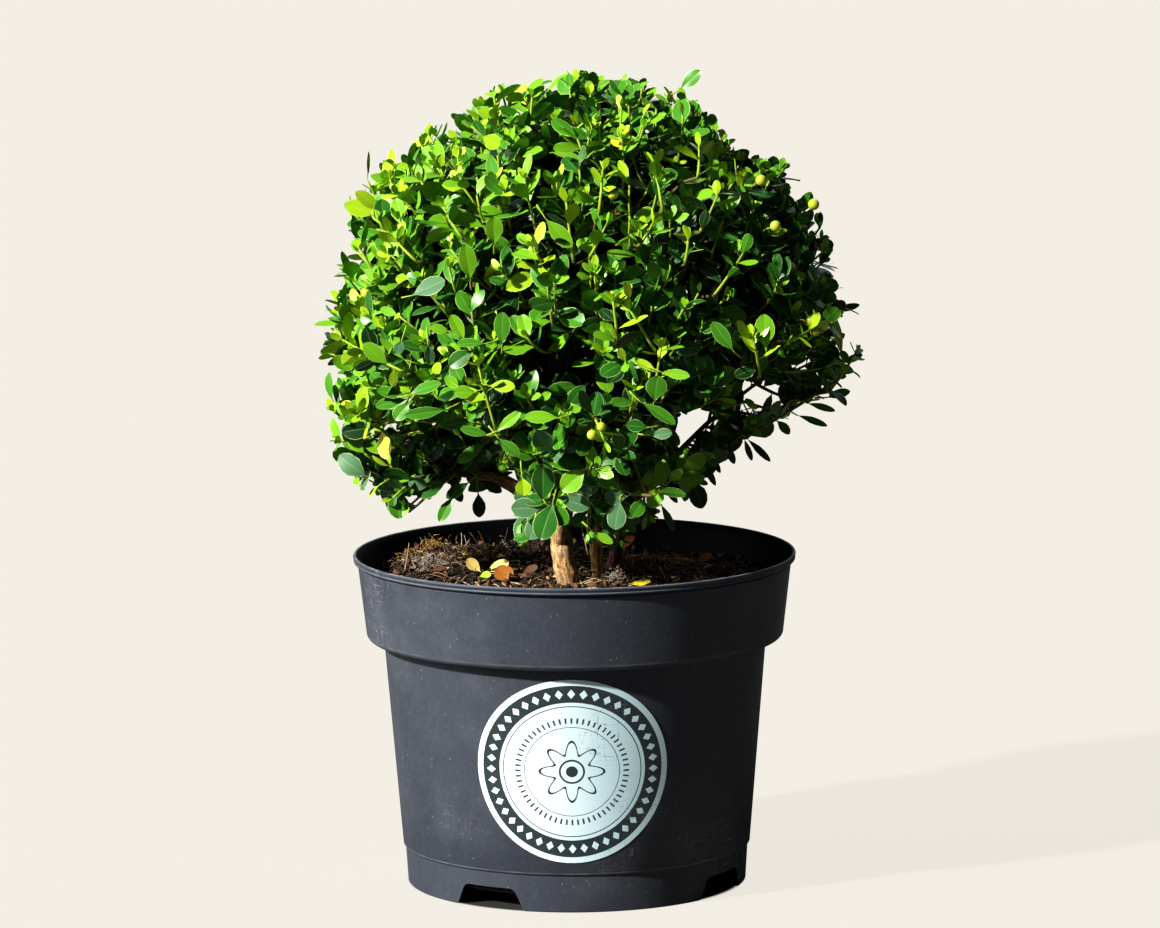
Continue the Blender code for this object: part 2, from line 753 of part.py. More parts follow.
def into_core(limb, core):
    """The same limb, cut off just before it would enter the core."""
    count = 0
    while core.find_nearest(limb.points[count])[3] > limb.radii[count] + CORE_GAP:
        count += 1
    chosen = [*limb.points[:count - 1:RISER_SKIP], limb.points[count - 1]]
    return Limb(limb.name, chosen, limb.radii[0] - limb.flare, limb.radii[count - 1], limb.flare)


def bough_from(stem, name, height, end, bend, root_radius, tip_radius, steps=6):
    """A bough that leaves its stem's side at this height; sizes in millimetres."""
    middle, stem_radius = stem.at(height * MM)
    aim = vector_mm(*end)
    heading = ((middle + aim) / 2 + vector_mm(*bend) * 2.0 - middle).normalized()
    level = Vector((heading.x, heading.y, 0.0)).normalized()
    start = middle + level * (stem_radius + CLEARANCE + root_radius * MM * abs(heading.z))
    return limb_between(name, start / MM, end, bend, root_radius, tip_radius, steps=steps)


def make_limbs(core):
    """The stems that leave the compost, and the boughs that leave the stems."""
    foot = SOIL_HEIGHT / MM + 0.3
    trunk = limb_between("trunk", (-5.0, -8.0, foot), (-4.0, -5.0, 232.0), (-4.0, 1.0, 0.0), 5.6, 4.4, 2.2)
    right_path = ((16.0, 12.0, foot), (25.0, 9.0, 290.0), (-3.0, 0.0, 0.0))
    right = into_core(limb_between("stem_right", *right_path, 4.2, 2.6, 1.2, RISER_STEPS), core)
    back_path = ((22.0, 42.0, foot), (32.0, 40.0, 290.0), (3.0, 8.0, 0.0))
    back = into_core(limb_between("stem_back", *back_path, 3.8, 2.4, 1.0, RISER_STEPS), core)
    boughs = [
        bough_from(trunk, "bough_left", 213.0, (-54.0, 1.0, 239.0), (0.0, 0.0, 6.5), 3.6, 2.4),
        bough_from(right, "bough_right", 212.0, (56.0, 12.0, 231.0), (0.0, 0.0, -2.0), 3.0, 2.2),
        bough_from(back, "bough_back", 212.0, (24.0, 78.0, 229.0), (0.0, 0.0, -1.0), 2.8, 2.0),
    ]
    risers = [
        (trunk, "bough_front", 203.0, (6.0, -66.0, 300.0), (0.0, -8.0, 0.0), 3.2),
        (right, "bough_front_right", 200.0, (36.0, -50.0, 300.0), (3.0, -4.0, 0.0), 3.0),
        (trunk, "bough_left_high", 226.0, (-66.0, 16.0, 310.0), (-4.0, 4.0, 0.0), 2.8),
        (back, "bough_back_left", 203.0, (-46.0, 66.0, 310.0), (-4.0, 4.0, 0.0), 2.8),
    ]
    cut = [into_core(bough_from(*riser, RISER_TIP_RADIUS, RISER_STEPS), core) for riser in risers]
    return trunk, [trunk, right, back, *boughs, *cut]


def grown_on(limb, end, bend):
    """A mass's stem path that goes on from the limb's tip, just clear of it, to its own end."""
    heading = direction_at(limb.points, len(limb.points) - 1)
    start = limb.points[-1] + heading * CLEARANCE
    return [start, *bent_path(start + heading * 3.0 * MM, end, bend, 4)]


def make_crown(trunk, limbs, finish):
    """The clipped dome: its stem rises from the trunk's tip into the core."""
    top = Vector((CROWN_X, CROWN_Y, CORE_MIDDLE))
    stem = Limb("crown_stem", grown_on(trunk, top, Vector()), trunk.radii[-1], 2.4 * MM)
    mass = Mass("crown", in_crown, limbs, CROWN_SEED)
    mass.keep(core_shape(), top, CROWN_RADIUS)
    grow_sprigs(mass)
    grow_crown(mass)
    return mass.join(stem, finish)


def spray_stem(name, bough, end, sag):
    """The stem of an open mass, which grows on from its bough's tip under the dome."""
    path = grown_on(bough, vector_mm(*end), vector_mm(0.0, 0.0, sag))
    return Limb(name, path, bough.radii[-1], TWIG_TIP_RADIUS)


def make_spray(stem, seed, limbs, finish):
    """An open mass of leafy twigs on its own stem."""
    mass = Mass(stem.name, under_crown, limbs, seed)
    mass.leaf_length = SPRAY_LEAF_LENGTH
    grow_spray(mass, stem, SPRAY_TWIGS, SPRAY_TWIG_LEAVES, SPRAY_FAN)
    return mass.join(stem, finish)


def main():
    clear_scene()
    black_plastic = material("black_plastic", (0.030, 0.034, 0.042), 0.42)
    compost = material("compost", (0.045, 0.027, 0.018), 0.95)
    label_film = material("label_film", (0.62, 0.70, 0.76), 0.35)
    bark = material("bark", (0.30, 0.20, 0.12), 0.85)
    leaf_green = material("leaf_green", (0.070, 0.150, 0.030), 0.40)

    make_pot(black_plastic)
    make_soil(compost)
    make_label(label_film)

    trunk, limbs = make_limbs(BVHTree.FromBMesh(core_shape()))
    for limb in limbs:
        smooth_round(new_object(limb.name, limb.shape(LIMB_SIDES), bark), 60.0)
    by_name = {limb.name: limb for limb in limbs}

    left = spray_stem("spray_left", by_name["bough_left"], (-118.0, -2.0, 237.0), 2.0)
    right = spray_stem("spray_right", by_name["bough_right"], (146.0, 6.0, 288.0), 0.0)
    back = spray_stem("spray_back", by_name["bough_back"], (22.0, 134.0, 236.0), 0.0)
    make_crown(trunk, [*limbs, left, right, back], leaf_green)
    for seed, stem in ((7, left), (7, right), (20, back)):
        make_spray(stem, seed, limbs, leaf_green)


main()
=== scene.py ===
"""Japanese holly clipped to a dome, in a black nursery pot: its surfaces, leaves and light."""
import math
import random

import bmesh
import bpy
import numpy as np
from mathutils import Matrix, Vector, noise


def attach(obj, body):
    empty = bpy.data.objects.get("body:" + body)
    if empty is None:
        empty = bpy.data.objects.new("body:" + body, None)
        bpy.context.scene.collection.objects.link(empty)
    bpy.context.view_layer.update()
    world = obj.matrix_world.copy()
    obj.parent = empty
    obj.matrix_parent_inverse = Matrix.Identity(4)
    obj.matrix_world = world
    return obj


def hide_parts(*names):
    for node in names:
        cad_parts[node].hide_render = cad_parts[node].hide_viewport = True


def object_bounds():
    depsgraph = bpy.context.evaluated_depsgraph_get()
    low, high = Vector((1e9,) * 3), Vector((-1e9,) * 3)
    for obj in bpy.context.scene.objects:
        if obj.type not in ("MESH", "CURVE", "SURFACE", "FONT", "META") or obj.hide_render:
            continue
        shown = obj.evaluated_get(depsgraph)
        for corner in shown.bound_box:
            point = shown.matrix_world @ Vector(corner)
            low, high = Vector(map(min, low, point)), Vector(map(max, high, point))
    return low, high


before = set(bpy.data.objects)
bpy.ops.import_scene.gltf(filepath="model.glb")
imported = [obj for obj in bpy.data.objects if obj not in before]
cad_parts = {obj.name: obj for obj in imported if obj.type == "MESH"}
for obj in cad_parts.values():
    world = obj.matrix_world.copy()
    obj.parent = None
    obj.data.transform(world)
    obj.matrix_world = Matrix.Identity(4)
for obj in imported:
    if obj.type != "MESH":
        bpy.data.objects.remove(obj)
CAD_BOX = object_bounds()

MM = 0.001
UP = Vector((0.0, 0.0, 1.0))
GOLDEN_ANGLE = math.pi * (3.0 - math.sqrt(5.0))

# The camera, fitted to the photograph: metres, radians and pixels
PHOTO_WIDTH = 1160.0
PHOTO_HEIGHT = 928.0
CAMERA_PLACE = Vector((0.0, -4.0, 0.8591))
CAMERA_PITCH = 0.1519
CAMERA_ROLL = -0.0082
FOCAL_PIXELS = 6900.12
MIDDLE_PIXEL = (573.66, 464.23)
SENSOR = 36.0

# The light: a key at the upper left, a soft light behind and a dim sky
KEY_TRAVEL = Vector((0.690, 0.480, -0.542))
KEY_POWER = 7.2
KEY_SOFTNESS = 2.5
SIDE_TRAVEL = Vector((0.92, 0.10, -0.35))
SIDE_POWER = 1.55
SIDE_SOFTNESS = 40.0
BACK_TRAVEL = Vector((-0.30, -0.85, -0.62))
BACK_POWER = 0.5
BACK_SOFTNESS = 50.0
WORLD_STRENGTH = 0.05
LOOK = "Medium High Contrast"

# The floor as the camera sees it, and as it throws light back
FLOOR_COLOUR = (0.04, 0.04, 0.037)
FLOOR_GLOW = (0.868, 0.832, 0.758)
FLOOR_GLOW_STRENGTH = 0.80
FLOOR_BOUNCE = (0.16, 0.15, 0.135)

# The pot, as in the construction
RIM_RADIUS = 130.0 * MM
POT_HEIGHT = 195.0 * MM
COLLAR_TOP_RADIUS = 127.4 * MM
COLLAR_LOW_RADIUS = 122.8 * MM
COLLAR_LOW_HEIGHT = 152.0 * MM
EDGE_ROUND = 3.4 * MM
BODY_TOP_RADIUS = 112.4 * MM
BODY_TOP_HEIGHT = 145.0 * MM
HEEL_RADIUS = 102.3 * MM
HEEL_HEIGHT = 23.0 * MM
HEEL_STEP = 1.3 * MM
FOOT_RADIUS = 99.7 * MM
FOOT_WIDTH = 3.4 * MM
LIP_DEPTH = 4.2 * MM
LOW_BEAD = 0.8 * MM
TOP_BEAD = 1.1 * MM
GROOVE = 0.6 * MM
WALL = 2.0 * MM
FLOOR_TOP = 10.0 * MM
DISH_RADIUS = 72.0 * MM
POT_SEGMENTS = 180
NOTCH_COUNT = 4
NOTCH_FIRST_TURN = -31.0
NOTCH_HEIGHT = 13.0 * MM
NOTCH_TOP_WIDTH = 33.0 * MM
NOTCH_FOOT_WIDTH = 45.0 * MM
NOTCH_DEPTH = 12.0 * MM
LABEL_RADIUS = 56.0 * MM
LABEL_WIDE = 1.015
LABEL_TALL = 0.977
LABEL_LIFT = 1.0 * MM
LABEL_HEIGHT = 83.5 * MM
LABEL_TURN = -1.3
LABEL_THICKNESS = 0.5 * MM

# The compost
SOIL_HEIGHT = 176.5 * MM
SOIL_HEAP = 9.0 * MM
SOIL_HEAP_X = -70.0 * MM
SOIL_HEAP_Y = 62.0 * MM
SOIL_HEAP_SPREAD = 52.0 * MM
COMPOST_REACH = 106.0

# The clipped dome, its swells (middle, how far and how broad, in millimetres) and its raised underside
CROWN_X = 9.0 * MM
CROWN_Y = 4.0 * MM
CROWN_TOP = 478.0 * MM
CROWN_WIDEST = 315.0 * MM
CROWN_RADIUS = 149.0 * MM
CROWN_LOW = 212.0 * MM
CROWN_TUCK = 0.22
CROWN_ROUNDNESS = 2.2
CROWN_MIDDLE = Vector((CROWN_X, CROWN_Y, 336.0 * MM))
SWELLS = (
    ((-66.0, 0.0, 460.0), -15.0, 14.0),
    ((-92.0, 0.0, 436.0), -7.0, 12.0),
    ((-128.0, 0.0, 398.0), 10.0, 25.0),
    ((-148.0, 0.0, 323.0), 15.0, 18.0),
    ((96.0, 0.0, 444.0), -32.0, 21.0),
    ((142.0, 0.0, 372.0), 1.0, 26.0), ((78.0, 0.0, 457.0), -9.0, 12.0), ((-138.0, 0.0, 264.0), 6.0, 20.0),
)
LEFT_START = -30.0 * MM
LEFT_RUN = 22.0 * MM
LEFT_RISE = 45.0 * MM
FRONT_LEFT_RISE = 24.0 * MM
FRONT_START = -12.0 * MM
FRONT_RUN = 30.0 * MM
RIGHT_START = 40.0 * MM
RIGHT_RUN = 35.0 * MM
RIGHT_RISE = 84.0 * MM
BACK_START = 45.0 * MM
BACK_RUN = 30.0 * MM
BACK_RISE = 42.0 * MM
SPRAY_LOW = 217.0 * MM
SPRAY_LEFT_FRONT = -22.0 * MM
SPRAY_RIGHT_START = 66.0 * MM
SPRAY_RIGHT_SLOPE = 1.5
SPRAY_RIGHT_RISE = 22.0 * MM
SPRAY_FAR_SLOPE = 0.60

# Leaves, twigs and berries at life size
LEAF_LENGTH = 21.0 * MM
LEAF_SPACING = 3.7 * MM
LEAF_SHINE = 0.34
BERRY_RADIUS = 3.4 * MM
DOME_TWIGS = 900
BRANCH_COUNT = 130
INNER_BOUGH_COUNT = 34
DOME_LOW_ANGLE = 150.0

# Tips of the shoots that the shears missed, and of some bright ones on the right
SPRIG_TIPS = (
    Vector((0.169, -0.004, 0.339)),
    Vector((0.166, 0.010, 0.300)),
    Vector((-0.151, -0.006, 0.331)),
    Vector((0.020, -0.152, 0.350)),
    Vector((-0.010, 0.160, 0.345)),
)

# Gaps among the leaves in the photograph: left, top, right and bottom pixels, and how far back they go
GAPS = (
    (506, 458, 592, 542, -116), (592, 486, 668, 532, -110), (446, 470, 516, 500, -3), (547, 526, 583, 592, -6),
    (674, 411, 711, 444, 200), (738, 381, 780, 403, 200), (798, 358, 813, 382, 200), (664, 492, 690, 518, 200),
    (744, 452, 800, 520, 200), (420, 492, 512, 520, 200), (708, 486, 800, 530, 200),
    (536, 350, 552, 392, -40), (664, 384, 684, 410, -40), (626, 166, 646, 200, -50),
    (604, 104, 636, 122, -30), (384, 424, 440, 436, -30), (464, 182, 480, 202, -40),
)

# Shoots that stand before the dome's face: pixels of foot and tip in the photograph, and their green
FACE_SHOOTS = (
    (573, 262, 567, 200, "young"), (590, 258, 606, 222, "bright"), (599, 215, 602, 168, "young"),
    (664, 212, 650, 164, "young"), (640, 246, 650, 222, "bright"), (686, 265, 684, 236, "young"),
    (716, 296, 738, 250, "bright"), (656, 352, 628, 308, "bright"), (655, 392, 658, 346, "young"),
    (496, 436, 482, 362, "young"), (404, 374, 350, 338, "young"), (385, 434, 366, 412, "young"),
    (414, 262, 398, 232, "young"), (461, 240, 450, 206, "bright"), (702, 232, 712, 192, "young"),
    (700, 178, 692, 146, "young"), (762, 378, 746, 336, "young"), (808, 342, 818, 318, "bright"),
    (790, 342, 806, 326, "young"), (656, 496, 690, 450, "bright"), (596, 420, 604, 440, "young"),
    (618, 342, 612, 300, "young"), (540, 262, 536, 246, "young"), (832, 392, 846, 352, "bright"),
)
FACE_OUT = 6.0
BESIDE_DOME = -20.0

# Single leaves in the photograph: pixels of root and tip, depth (None is on the dome's face), width share and green;
# each green also paints the leaf's light and shade, darker where it lies in shade
SINGLE_LEAVES = (
    (543, 503, 543, 464, -128, 0.60, "deep"), (586, 469, 561, 491, -132, 0.66, "bright"),
    (553, 502, 540, 540, -132, 0.66, "deep"), (543, 508, 511, 508, -128, 0.66, "dust_and_sheen"),
    (552, 500, 523, 499, -126, 0.55, "deep"), (558, 498, 590, 507, -124, 0.58, "dust_and_sheen"),
    (542, 512, 528, 540, -124, 0.60, "dust_and_sheen"), (546, 504, 568, 524, -130, 0.62, "mid"),
    (586, 468, 549, 460, -130, 0.50, "mid"), (590, 468, 592, 446, -132, 0.50, "bright"),
    (592, 468, 618, 450, -130, 0.45, "mid"), (570, 470, 546, 486, -124, 0.62, "deep"),
    (628, 496, 604, 498, -120, 0.68, "dust_and_sheen"), (620, 500, 614, 530, -122, 0.66, "dust_and_sheen"),
    (645, 498, 632, 517, -120, 0.66, "mid"), (664, 484, 649, 508, -118, 0.62, "bright"),
    (620, 490, 595, 472, -122, 0.52, "mid"), (600, 476, 570, 476, -118, 0.60, "deep"),
    (397, 486, 399, 519, -12, 0.66, "mid"), (453, 496, 439, 522, -10, 0.42, "mid"),
    (478, 492, 480, 518, -8, 0.54, "old"), (691, 478, 704, 509, -6, 0.58, "old"),
    (664, 486, 678, 503, -30, 0.30, "deep"), (660, 503, 676, 531, -34, 0.26, "dust_and_sheen"),
    (744, 438, 752, 461, 4, 0.26, "old"), (746, 438, 772, 461, 6, 0.22, "old"),
    (724, 442, 735, 464, 2, 0.36, "old"), (776, 420, 790, 434, 8, 0.56, "mid"),
    (796, 415, 828, 425, 6, 0.24, "mid"), (806, 403, 836, 410, 8, 0.24, "mid"),
    (706, 446, 720, 474, 4, 0.24, "old"), (698, 452, 716, 486, 6, 0.20, "old"), (700, 440, 690, 452, 2, 0.3, "old"),
    (832, 311, 860, 305, 4, 0.26, "old"), (842, 358, 834, 316, -4, 0.22, "young"),
    (842, 364, 862, 353, 0, 0.44, "mid"), (836, 372, 822, 384, -4, 0.80, "mid"), (826, 398, 850, 390, 4, 0.4, "mid"),
    (815, 395, 788, 372, -2, 0.62, "mid"), (800, 214, 811, 192, 0, 0.5, "mid"), (798, 208, 784, 194, -6, 0.4, "deep"),
    (796, 216, 812, 214, 2, 0.4, "deep"), (593, 532, 613, 543, -120, 0.42, "bright"),
    (522, 477, 524, 496, -118, 0.85, "young"),
    (380, 214, 344, 204, -30, 0.50, "young"), (380, 212, 357, 190, -34, 0.52, "young"),
    (352, 212, 358, 238, -28, 0.42, "deep"), (680, 90, 700, 70, -2, 0.50, "mid"), (447, 482, 416, 496, -14, 0.46, "deep"), (432, 478, 410, 494, -10, 0.5, "mid"),
    (470, 482, 446, 498, -12, 0.46, "deep"), (480, 480, 502, 492, -8, 0.44, "old"), (426, 478, 430, 500, -6, 0.50, "deep"),
    (450, 480, 462, 502, -4, 0.44, "old"), (408, 470, 402, 494, -8, 0.5, "deep"), (820, 262, 832, 246, 0, 0.4, "deep"),
    (766, 350, 764, 314, None, 0.56, "bright"), (734, 352, 712, 322, None, 0.40, "mid"),
    (408, 397, 377, 389, None, 0.50, "mid"), (408, 396, 440, 380, None, 0.40, "mid"),
    (408, 399, 375, 406, None, 0.38, "mid"), (410, 402, 394, 420, None, 0.66, "mid"),
    (448, 409, 404, 416, None, 0.28, "mid"), (428, 344, 430, 364, None, 0.62, "dust_and_sheen"),
    (402, 340, 396, 354, None, 0.70, "dust_and_sheen"), (502, 346, 502, 312, None, 0.48, "mid"),
    (486, 344, 456, 342, None, 0.40, "mid"), (474, 350, 448, 366, None, 0.60, "deep"),
    (450, 332, 430, 326, None, 0.50, "bright"), (488, 386, 515, 386, None, 0.48, "young"),
    (476, 392, 454, 392, None, 0.60, "bright"), (560, 418, 524, 416, None, 0.38, "bright"),
    (577, 376, 562, 342, None, 0.42, "mid"), (496, 432, 520, 412, None, 0.34, "bright"),
    (498, 438, 520, 456, None, 0.42, "mid"), (490, 436, 460, 428, None, 0.34, "mid"),
    (488, 442, 456, 462, None, 0.34, "mid"), (545, 218, 572, 248, None, 0.42, "bright"),
    (494, 246, 494, 216, None, 0.60, "bright"), (470, 282, 466, 244, None, 0.48, "bright"),
    (412, 296, 444, 278, None, 0.60, "dust_and_sheen"), (482, 136, 500, 146, None, 0.80, "young"),
    (660, 372, 690, 376, None, 0.34, "bright"), (654, 402, 658, 376, None, 0.80, "mid"),
    (640, 402, 676, 424, None, 0.34, "mid"), (648, 428, 626, 424, None, 0.60, "deep"),
    (650, 436, 672, 432, None, 0.50, "dust_and_sheen"), (630, 300, 626, 282, None, 0.5, "young"),
)
DRY_SPRIG = (367, 179, 371, 151, 4)

# Berries on the dome's face, by pixel
BERRIES = (
    (612, 198), (592, 431), (601, 423), (755, 185), (806, 208), (769, 229), (803, 321), (807, 331), (815, 325), (817, 317),
)


def smoothstep(value):
    """0 below 0, 1 above 1, and an easy curve between."""
    share = min(max(value, 0.0), 1.0)
    return share * share * (3.0 - 2.0 * share)


def mm(x, y, z):
    """A point given in millimetres."""
    return Vector((x * MM, y * MM, z * MM))


def seen_at(across, down, depth):
    """The point that the photograph shows at this pixel, at this depth in millimetres behind the axis."""
    forward = Vector((0.0, math.cos(CAMERA_PITCH), -math.sin(CAMERA_PITCH)))
    right = Vector((1.0, 0.0, 0.0))
    up = right.cross(forward)
    x_axis = right * math.cos(CAMERA_ROLL) + up * math.sin(CAMERA_ROLL)
    y_axis = up * math.cos(CAMERA_ROLL) - right * math.sin(CAMERA_ROLL)
    ray = forward * FOCAL_PIXELS + x_axis * (across - MIDDLE_PIXEL[0]) + y_axis * (MIDDLE_PIXEL[1] - down)
    return CAMERA_PLACE + ray * ((depth * MM - CAMERA_PLACE.y) / ray.y)


def pixel_of(point):
    """The pixel at which the photograph shows this point."""
    away = point - CAMERA_PLACE
    forward = Vector((0.0, math.cos(CAMERA_PITCH), -math.sin(CAMERA_PITCH)))
    up = Vector((0.0, math.sin(CAMERA_PITCH), math.cos(CAMERA_PITCH)))
    scale = FOCAL_PIXELS / away.dot(forward)
    right = away.x * scale
    high = away.dot(up) * scale
    across = right * math.cos(CAMERA_ROLL) + high * math.sin(CAMERA_ROLL)
    down = high * math.cos(CAMERA_ROLL) - right * math.sin(CAMERA_ROLL)
    return MIDDLE_PIXEL[0] + across, MIDDLE_PIXEL[1] - down


def finished(name, mesh, slot, *nodes):
    """Puts a mesh in the scene as a piece of the plant that stands for these CAD nodes."""
    piece = bpy.data.objects.new(name, mesh)
    bpy.context.scene.collection.objects.link(piece)
    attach(piece, "root")
    if nodes:
        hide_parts(*nodes)
    return piece


def mesh_of(name, shape, *finishes):
    """Turns a bmesh into a mesh with these materials, shaded smooth."""
    mesh = bpy.data.meshes.new(name)
    shape.to_mesh(mesh)
    shape.free()
    for finish in finishes:
        mesh.materials.append(finish)
    mesh.shade_smooth()
    return mesh


# Materials

def plain_material(name, colour, roughness, coat=0.0, shine=0.5):
    """A material with one colour all over, for leaves, berries and straws dealt out by spray."""
    made = bpy.data.materials.new(name)
    made.use_nodes = True
    shader = made.node_tree.nodes["Principled BSDF"]
    shader.inputs["Base Color"].default_value = (*colour, 1.0)
    shader.inputs["Roughness"].default_value = roughness
    shader.inputs["Coat Weight"].default_value = coat
    shader.inputs["Specular IOR Level"].default_value = shine
    shader.inputs["Coat Roughness"].default_value = 0.18
    return made


class Graph:
    """Short calls for adding nodes to a material or a node group."""

    def __init__(self, tree):
        self.tree = tree

    def node(self, kind, **settings):
        made = self.tree.nodes.new(kind)
        for name, value in settings.items():
            setattr(made, name, value)
        return made

    def put(self, socket, value):
        """Links an output to a socket, or sets the socket's own value."""
        if isinstance(value, bpy.types.NodeSocket):
            self.tree.links.new(value, socket)
        else:
            socket.default_value = value

    def math(self, operation, first, second=0.0, third=0.0):
        made = self.node("ShaderNodeMath", operation=operation)
        for socket, value in zip(made.inputs, (first, second, third)):
            self.put(socket, value)
        return made.outputs[0]

    def noise(self, vector, scale, detail=4.0, roughness=0.55):
        made = self.node("ShaderNodeTexNoise")
        self.put(made.inputs["Vector"], vector)
        made.inputs["Scale"].default_value = scale
        made.inputs["Detail"].default_value = detail
        made.inputs["Roughness"].default_value = roughness
        return made.outputs["Fac"]

    def mapping(self, vector, scale=(1.0, 1.0, 1.0), place=(0.0, 0.0, 0.0), turn=(0.0, 0.0, 0.0)):
        made = self.node("ShaderNodeMapping")
        self.put(made.inputs["Vector"], vector)
        made.inputs["Scale"].default_value = scale
        made.inputs["Location"].default_value = place
        made.inputs["Rotation"].default_value = turn
        return made.outputs[0]

    def between(self, value, low, high, out_low=0.0, out_high=1.0):
        """Maps a value from one range to another, held at the ends."""
        made = self.node("ShaderNodeMapRange", interpolation_type="SMOOTHSTEP")
        self.put(made.inputs["Value"], value)
        made.inputs["From Min"].default_value = low
        made.inputs["From Max"].default_value = high
        made.inputs["To Min"].default_value = out_low
        made.inputs["To Max"].default_value = out_high
        return made.outputs["Result"]

    def mix(self, share, first, second):
        """Mixes two colours."""
        made = self.node("ShaderNodeMix", data_type="RGBA")
        self.put(made.inputs["Factor"], share)
        for socket, value in ((made.inputs["A"], first), (made.inputs["B"], second)):
            colour = [item for item in made.inputs if item.identifier == f"{socket.name}_Color"][0]
            self.put(colour, (*value, 1.0) if isinstance(value, tuple) else value)
        return [item for item in made.outputs if item.identifier == "Result_Color"][0]

    def ramp(self, value, *stops):
        """A colour ramp through (place, colour) stops."""
        made = self.node("ShaderNodeValToRGB")
        self.put(made.inputs["Fac"], value)
        elements = made.color_ramp.elements
        while len(elements) < len(stops):
            elements.new(0.5)
        for element, (place, colour) in zip(elements, stops):
            element.position = place
            element.color = (*colour, 1.0)
        return made.outputs["Color"]

    def bump(self, height, strength, distance):
        made = self.node("ShaderNodeBump")
        self.put(made.inputs["Height"], height)
        made.inputs["Strength"].default_value = strength
        made.inputs["Distance"].default_value = distance
        return made.outputs["Normal"]


def patterned_material(name, roughness=0.5):
    """An empty Principled material, with its graph and shader."""
    made = bpy.data.materials.new(name)
    made.use_nodes = True
    shader = made.node_tree.nodes["Principled BSDF"]
    shader.inputs["Roughness"].default_value = roughness
    return made, Graph(made.node_tree), shader


def handling_wear():
    """Node group: the specks of dust and the thin scratches that a handled surface picks up."""
    group = bpy.data.node_groups.new("handling_wear", "ShaderNodeTree")
    group.interface.new_socket("Vector", in_out="INPUT", socket_type="NodeSocketVector")
    group.interface.new_socket("Specks", in_out="INPUT", socket_type="NodeSocketFloat")
    group.interface.new_socket("Dust", in_out="OUTPUT", socket_type="NodeSocketFloat")
    group.interface.new_socket("Scratches", in_out="OUTPUT", socket_type="NodeSocketFloat")
    graph = Graph(group)
    inputs = graph.node("NodeGroupInput")
    outputs = graph.node("NodeGroupOutput")
    vector = inputs.outputs["Vector"]
    specks = graph.node("ShaderNodeTexVoronoi", feature="F1")
    graph.put(specks.inputs["Vector"], vector)
    specks.inputs["Scale"].default_value = 240.0
    near = graph.math("LESS_THAN", specks.outputs["Distance"], 0.13)
    chosen = graph.math("GREATER_THAN", specks.outputs["Color"], inputs.outputs["Specks"])
    film = graph.between(graph.noise(vector, 16.0, 8.0, 0.65), 0.45, 0.8)
    dust = graph.math("MAXIMUM", graph.math("MULTIPLY", near, chosen), graph.math("MULTIPLY", film, 0.35))
    long_way = graph.mapping(vector, scale=(60.0, 60.0, 6.0), turn=(0.35, 0.2, 0.5))
    short_way = graph.mapping(vector, scale=(9.0, 9.0, 90.0), turn=(0.1, -0.5, 0.2))
    lines = []
    for way in (long_way, short_way):
        value = graph.noise(way, 4.0, 1.0)
        lines.append(graph.between(graph.math("ABSOLUTE", graph.math("SUBTRACT", value, 0.5)), 0.0, 0.008, 1.0, 0.0))
    place = graph.between(graph.noise(vector, 14.0, 2.0), 0.56, 0.66)
    scratches = graph.math("MULTIPLY", graph.math("MAXIMUM", *lines), place)
    graph.put(outputs.inputs["Dust"], dust)
    graph.put(outputs.inputs["Scratches"], scratches)
    return group


def grain():
    """Node group: cloudy grain at two scales, for moulded plastic, bark and compost."""
    group = bpy.data.node_groups.new("grain", "ShaderNodeTree")
    group.interface.new_socket("Vector", in_out="INPUT", socket_type="NodeSocketVector")
    group.interface.new_socket("Coarse", in_out="OUTPUT", socket_type="NodeSocketFloat")
    group.interface.new_socket("Fine", in_out="OUTPUT", socket_type="NodeSocketFloat")
    graph = Graph(group)
    inputs = graph.node("NodeGroupInput")
    outputs = graph.node("NodeGroupOutput")
    graph.put(outputs.inputs["Coarse"], graph.noise(inputs.outputs["Vector"], 3.0, 8.0, 0.6))
    graph.put(outputs.inputs["Fine"], graph.noise(inputs.outputs["Vector"], 24.0, 4.0, 0.6))
    return group


WEAR = handling_wear()
GRAIN = grain()


def place_group(graph, group, vector):
    """Puts a node group in a material, fed by this vector."""
    made = graph.node("ShaderNodeGroup")
    made.node_tree = group
    graph.put(made.inputs["Vector"], vector)
    return made


def painted_shade_inside_material():
    """The pot's inner wall: far darker than the outside plastic, as painted shade."""
    made, graph, shader = patterned_material("pot_inside_painted_shade", 0.6)
    where = graph.node("ShaderNodeTexCoord").outputs["Object"]
    cloud = place_group(graph, GRAIN, graph.mapping(where, scale=(12.0, 12.0, 12.0)))
    graph.put(shader.inputs["Base Color"], graph.mix(cloud.outputs["Coarse"], (0.001, 0.001, 0.002), (0.006, 0.006, 0.007)))
    shader.inputs["Specular IOR Level"].default_value = 0.06
    return made


